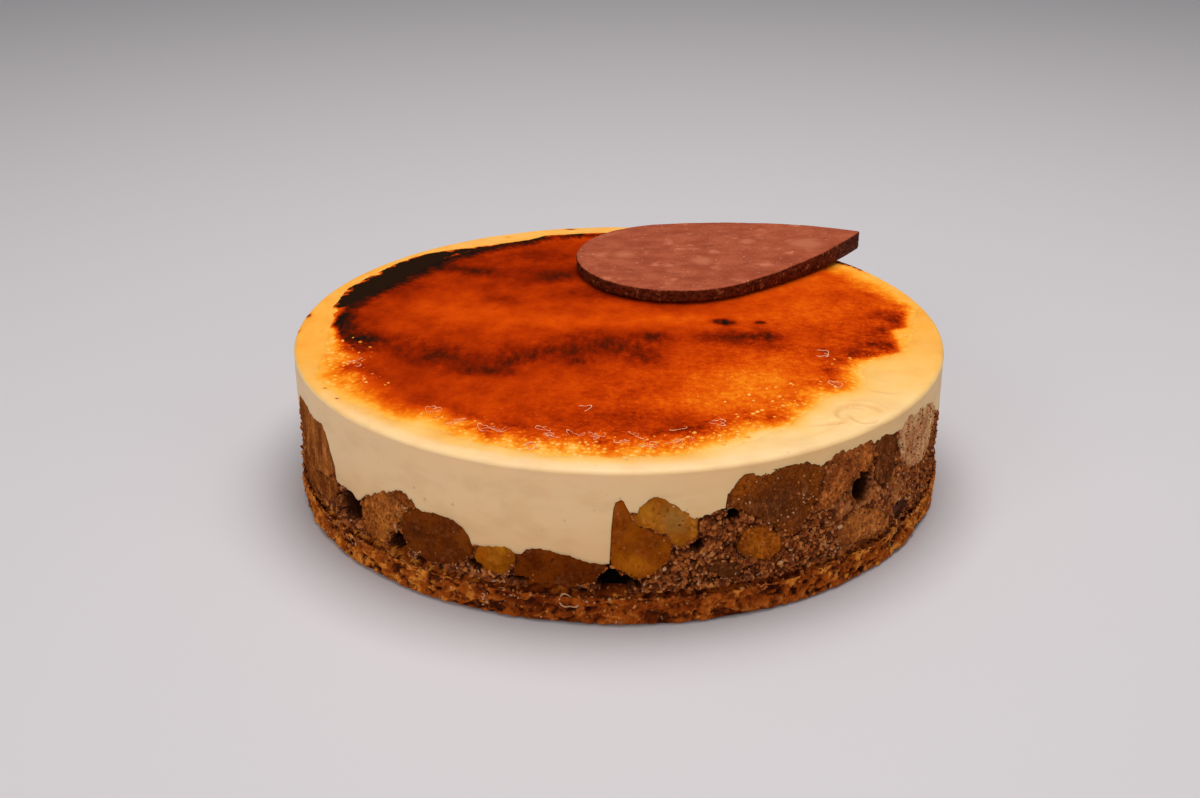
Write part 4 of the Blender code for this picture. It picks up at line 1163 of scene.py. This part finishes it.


# painted shade: darker brown inside the dents in the wall
colour = (sum(dent_shade(*pore) for pore in PORES) * 0.5).clamped().mixed(colour, (0.55, 0.31, 0.14))
# painted shade: the grooves beside the folds are made darker
colour = (finish.attribute("crease") * 1.6).clamped().mixed(colour, (0.76, 0.42, 0.17))
tint = place.noise(0.012, 2, (1, 1, 2.0), 4.0).between(0.35, 0.7)
colour = tint.mixed(colour, tint.mixed(colour, (0.94, 0.91, 0.88), "MULTIPLY"))
# painted shade: the cream is made darker and warmer towards the right (+x) and towards the lower wall, under
# 20 to 36 mm
colour = place.axis(0).between(-0.02, 0.07).mixed(colour, (1.0, 0.95, 0.80), "MULTIPLY")
colour = (1 - place.axis(2).between(0.020, 0.036)).mixed(colour, (0.93, 0.87, 0.81), "MULTIPLY")
finish.paint("Base Color", colour)
finish.paint("Roughness", 0.34 + place.noise(0.004, 3) * 0.2 + burn.between(0.2, 0.5) * 0.4)
finish.relief(place.noise(0.0015, 3), 0.00005)
dress(cream, finish, "cream", "cream_layer")

CARAMEL_COLUMNS = 960
CARAMEL_RINGS = 84
CARAMEL_THICKNESS = 0.72
CARAMEL_MOST = 0.85
CARAMEL_SUNK = 0.08
CARAMEL_EDGE = 5.0
# the charred arc: azimuth in degrees, its inner and outer radius in mm
CHAR = {
    86: (91.5, 90.9), 90: (91.3, 92.4), 100: (90.6, 91.6), 106.5: (90.0, 92.2), 111: (87.2, 89.4),
    115: (87.4, 89.4), 121: (85.9, 90.0), 127: (86.2, 92.2), 133: (85.2, 95.2), 139.7: (83.2, 96.2),
    150.7: (82.7, 94.6), 158.4: (84.0, 95.2), 166.6: (85.8, 93.4), 170: (88.0, 92.6), 173: (90.4, 91.2),
    178: (93.0, 89.0), 186: (93, 88)}
# how far a thin film of melted sugar reaches past the sheet, by azimuth in degrees, in mm
FILM = {
    0: 1.5, 6: 5, 12: 8, 20: 9, 32: 10, 40: 9, 50: 7.5, 65: 4, 80: 1, 86: 0, 186: 0, 194: 2, 197: 4,
    205: 7, 215: 6, 226: 4.5, 233: 2, 258: 3, 280: 2, 296: 1, 304: 5, 320: 5.5, 327: 4, 334: 2, 347: 3,
    352: 1.5, 360: 1.5}
FILM_LIMIT = 97.8
FILM_THICKNESS = 0.1

caramel_profile = [(0, 0), (60, 0), (99.9, 0), (WALL_RADIUS, 0.02)]
caramel_profile += [(WALL_RADIUS * (1 - ring / CARAMEL_RINGS), 1.0) for ring in range(CARAMEL_RINGS + 1)]
caramel = turned("torched_caramel", caramel_profile, CARAMEL_COLUMNS)
angle, radius, height = polar(corners(caramel))
share = radius / (WALL_RADIUS * MM)
in_arc = (angle > math.radians(min(CHAR))) & (angle < math.radians(max(CHAR)))
inner_char = in_mm({a: inner for a, (inner, outer) in CHAR.items()}, angle)
outer_char = in_mm({a: outer for a, (inner, outer) in CHAR.items()}, angle)
rim = np.maximum(sheet_edge(angle), np.where(in_arc, (outer_char + 1.5) * MM, 0))
rim_places = at(angle, WALL_RADIUS * MM, 0)
teeth = lumps(rim_places, 6, 41) + 0.6 * lumps(rim_places, 2.2, 42)
rim = rim + teeth * MM * np.where(in_arc, 0.3, 1)
film_rim = np.minimum(rim + in_mm(FILM, angle) * MM, FILM_LIMIT * MM)
radius = share * film_rim
places = at(angle, radius, 0)
inside = (rim - radius) / MM
taper = np.clip(inside / CARAMEL_EDGE, 0, 1) ** 0.9
dip = 0.5 * np.clip(1 - (film_rim - radius) / (1.6 * MM), 0, 1)
sheet = CARAMEL_THICKNESS * taper * (0.84 + 0.12 * lumps(places, 9, 43) + 0.05 * lumps(places, 3, 44))
sheet += frothy(angle, inside, 0) * 0.10 * lumps(places, 2.2, 46)
past_inner = np.clip(np.where(in_arc, radius / MM - inner_char, -9), -9, 9)
within_outer = np.clip(np.where(in_arc, outer_char - radius / MM, -9), -9, 9)
charred = np.minimum(past_inner, within_outer)
sheet += np.clip(charred / 2, 0, 1) * 0.12 * lumps(places, 2.0, 45) * (taper > 0.3)
thick = np.where(height > 0.5 * MM, np.clip(sheet, FILM_THICKNESS, CARAMEL_MOST), 0.0)
reshape(caramel, at(angle, radius, (CREAM_TOP - CARAMEL_SUNK - dip + thick) * MM))
sugared(caramel, angle, radius, 1.0)
marked(caramel, past_inner=past_inner, within_outer=within_outer)

finish = Finish("burnt_sugar", Roughness=0.3, Specular_IOR_Level=0.0)
place = finish.place
burn, froth, bubble = sugar_burn(finish)
past_inner, within_outer = finish.attribute("past_inner"), finish.attribute("within_outer")
turn = place.math("ARCTAN2", place.axis(0) * -1, place.axis(1))
spokes = place.node("CombineXYZ", {0: turn * 0.09, 1: place.radius() * 0.22, 2: 0.0})
hairs = spokes.noise(0.0015, 3, roughness=0.7)
scorch = place.noise(0.007, 3, shift=4.4)
teeth = (place.noise(0.0050, shift=7.7) - 0.5) * 12 + (place.noise(0.0022, 3, shift=1.1) - 0.5) * 3
inner_edge = past_inner + (hairs - 0.5) * 4.5 + (scorch - 0.5) * 9
outer_edge = within_outer + teeth - 0.2
blackness = place.math("MINIMUM", inner_edge, outer_edge).between(0.0, 0.9)
browned = (past_inner + (scorch - 0.5) * 9 + (hairs - 0.5) * 9).between(-6.5, 1.0)
browned = browned * (outer_edge + 0.3).between(-1.2, 0.2)
burn = (burn + browned * 0.30).clamped()
colour = burn.node("ValToRGB", {0: burn}, stops=SUGAR)
finish.paint("Base Color", blackness.mixed(colour, (0.018, 0.008, 0.004)))
finish.paint("Roughness", 0.22 + place.noise(0.0018, 3) * 0.14 + blackness * 0.4)
glints = place.noise(0.0016, 3, shift=6.6).between(0.62, 0.72)
finish.paint("Coat Weight", (froth + 0.12) * 0.5 * glints)
finish.relief(place.noise(0.0017, 3) * 0.4 + place.noise(0.0007) * 0.25 + bubble * froth * 0.8, 0.0003)
dress(caramel, finish, "caramel", "caramel_top")

# Bubbles in the sugar: it boiled under the torch where it met the wet cream. Small ones set as
# beads, and bigger ones burst and left thin glassy loops.
LOOP_THICKNESS = 3.0
# beads lie on the caramel, and this far out on the cream
BEADS_PAST_EDGE = 1.5
# where beads lie: x, y, spread in x and in y in mm, how many
BEADS = (
    (-80, -27, 4, 7, 34), (-70, -42, 4, 6, 14), (-46, -69, 8, 3, 16), (-8, -84, 24, 3, 80),
    (22, -80, 10, 3, 24), (40, -62, 5, 5, 26), (63, -43, 4, 2, 14), (68, -29, 6, 2.5, 10),
    (88, -8, 2, 3, 4), (44, -50, 9, 7, 18))
# where loops lie: x, y and spread in mm, how many
LOOPS = (
    (-51, -63.5, 2.2, 3), (-44, -71, 2.4, 3), (-36.5, -76, 2.2, 2), (-31, -76.5, 2.0, 3),
    (-21, -75, 1.5, 2), (-19, -79.7, 2.4, 4), (-21, -85, 3.0, 3), (-12, -80, 1.8, 2), (-5, -80, 2.6, 4),
    (1, -83.4, 2.0, 3), (5, -79, 1.0, 2), (10, -84, 2.5, 3), (16.5, -83, 2.2, 4), (16.7, -74.7, 0.5, 1),
    (27.7, -70.6, 2.0, 3), (-10, -62.5, 1.5, 1), (-77, -30, 3, 2), (62, -44, 2, 2), (60, -21, 3, 2))

top_trees = (measured(caramel.data), measured(cream.data))


def laid_on(x, y):
    """The place and facing of the top under a point given in mm."""
    rays = [dropped_on(tree, x * MM, y * MM, 60 * MM) for tree in top_trees]
    return max(((hit, facing) for hit, facing in rays if hit), key=lambda found: found[0].z)


loop_spots, bead_spots = [], []
for x, y, spread, count in LOOPS:
    for draw in range(count):
        spot_x, spot_y = x + luck.normal() * spread * 0.6, y + luck.normal() * spread * 0.35
        size = luck.uniform(1.6, 5.0)
        hit, facing = laid_on(spot_x, spot_y)
        tilted = facing + Vector(luck.normal(0, 0.10, 3))
        sizes = (size, size * luck.uniform(0.45, 0.9), LOOP_THICKNESS)
        loop_spots.append((hit, tilted, sizes, luck.random()))
for x, y, spread_x, spread_y, count in BEADS:
    for draw in range(count):
        spot_x, spot_y = x + luck.normal() * spread_x, y + luck.normal() * spread_y
        a = math.atan2(spot_y, spot_x) % math.tau
        deep_in = sheet_edge(a) / MM - math.hypot(spot_x, spot_y)
        if deep_in > -BEADS_PAST_EDGE:
            size = 0.4 + 1.3 * luck.random() ** 2.5
            hit, facing = laid_on(spot_x, spot_y)
            tint = 0.12 + 0.4 * luck.random() + 0.035 * max(deep_in - 4, 0) * (spot_x < 20)
            bead_spots.append((hit, facing, (size, size * luck.uniform(0.7, 1), size * 0.5), tint))

finish = Finish("sugar_bead", Roughness=0.35, Specular_IOR_Level=0.15, Coat_Weight=0.1, Coat_Roughness=0.2)
shade = finish.attribute("shade")
colour = shade.node("ValToRGB", {0: shade}, stops=(
    (0.0, (0.96, 0.52, 0.10)), (0.35, (0.92, 0.36, 0.035)), (0.65, (0.80, 0.17, 0.004)),
    (1.0, (0.46, 0.04, 0.001))))
finish.paint("Base Color", colour)
BEAD = seed_shape(bpy.ops.mesh.primitive_ico_sphere_add, subdivisions=2, radius=1.0)
beads = strewn("sugar_beads", BEAD, bead_spots, 0.06)
dress(beads, finish, "caramel")

finish = Finish("glassy_sugar_loop", Roughness=0.3, Specular_IOR_Level=0.4, Coat_Weight=0.3,
                Coat_Roughness=0.1)
shade = finish.attribute("shade")
# the loops are rims of burst bubbles; their pale pinkish-white is partly a painted highlight, besides their
# own gloss
finish.paint("Base Color", shade.mixed((0.92, 0.36, 0.12), (0.97, 0.58, 0.34)))
LOOP = seed_shape(bpy.ops.mesh.primitive_torus_add, major_segments=16, minor_segments=5,
                  major_radius=1.0, minor_radius=0.06)
loops = strewn("sugar_loops", LOOP, loop_spots, 0.0, sway=0.24)
dress(loops, finish, "caramel")

# The praline plaque: a drop-shaped sheet of chocolate praline, rolled out, cut with a cutter
# and laid on top. Its face is smooth and dull, and its cut side is gritty with nut pieces.
PLAQUE_VOXEL = 0.5 * MM
PLAQUE_LEAN = 3.0 * MM
PLAQUE_FACE = 0.053
# lighter patches where the praline was smeared: x, y and radius in mm
LIGHT_PATCHES = ((64, 60, 6), (2, 52, 4), (28, 46, 4), (44, 64, 3))

plaque = copied("praline_plaque", "praline_drop", PLAQUE_VOXEL, 3)
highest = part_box("praline_plaque")[1].z
places = corners(plaque)
normals = outward_normals(plaque)
places[:, 1] -= PLAQUE_LEAN * rising(places[:, 0] / MM, 35, 50) ** 1.3
sideways = np.clip(1 - np.abs(normals[:, 2]) * 1.6, 0, 1)
gritty = 0.35 * lumps(places, 1.6, 51) + 0.2 * lumps(places, 0.7, 52) + 0.15
places -= normals * (sideways * np.clip(gritty, -0.1, 1) * MM)[:, None]
places[:, 2] += (1 - sideways) * (normals[:, 2] > 0) * lumps(places, 8, 53) * 0.05 * MM
places[:, 2] = np.minimum(places[:, 2], highest)
reshape(plaque, places)
marked(plaque, side=np.clip(1.15 - normals[:, 2] * 1.3, 0, 1))

finish = Finish("chocolate_praline", Roughness=0.55, Specular_IOR_Level=0.08)
place = finish.place
side = finish.attribute("side")
grit = place.noise(0.0011, 3)
smear = place.noise(0.009, 4, (1, 1.6, 1), 3.0)
face = (smear + (grit - 0.5) * 0.5).fade(0.3, 0.7, (0.29, 0.053, 0.019), (0.40, 0.088, 0.037))
face = place.noise(0.0062, 3, (0.8, 1.1, 1), 8.0).fade(0.56, 0.78, face, (0.53, 0.150, 0.076))
for x, y, size in LIGHT_PATCHES:
    size *= MM
    away = place.away((x * MM, y * MM, PLAQUE_FACE)) + (smear - 0.5) * 2.4 * size
    face = (away.between(0.2 * size, 1.2 * size) * 0.6 + 0.4).mixed((0.54, 0.165, 0.080), face)
face = place.noise(0.0015, shift=5.0).fade(0.67, 0.77, face, (0.60, 0.24, 0.13))
cut = grit.fade(0.3, 0.65, (0.034, 0.005, 0.001), (0.137, 0.022, 0.004))
cut = place.noise(0.0022, shift=9.0).fade(0.6, 0.7, cut, (0.27, 0.090, 0.030))
finish.paint("Base Color", side.fade(0.25, 0.6, face, cut))
finish.paint("Roughness", 0.5 + side * 0.2)
finish.relief(grit, 0.0002)
dress(plaque, finish, "praline", "praline_plaque")
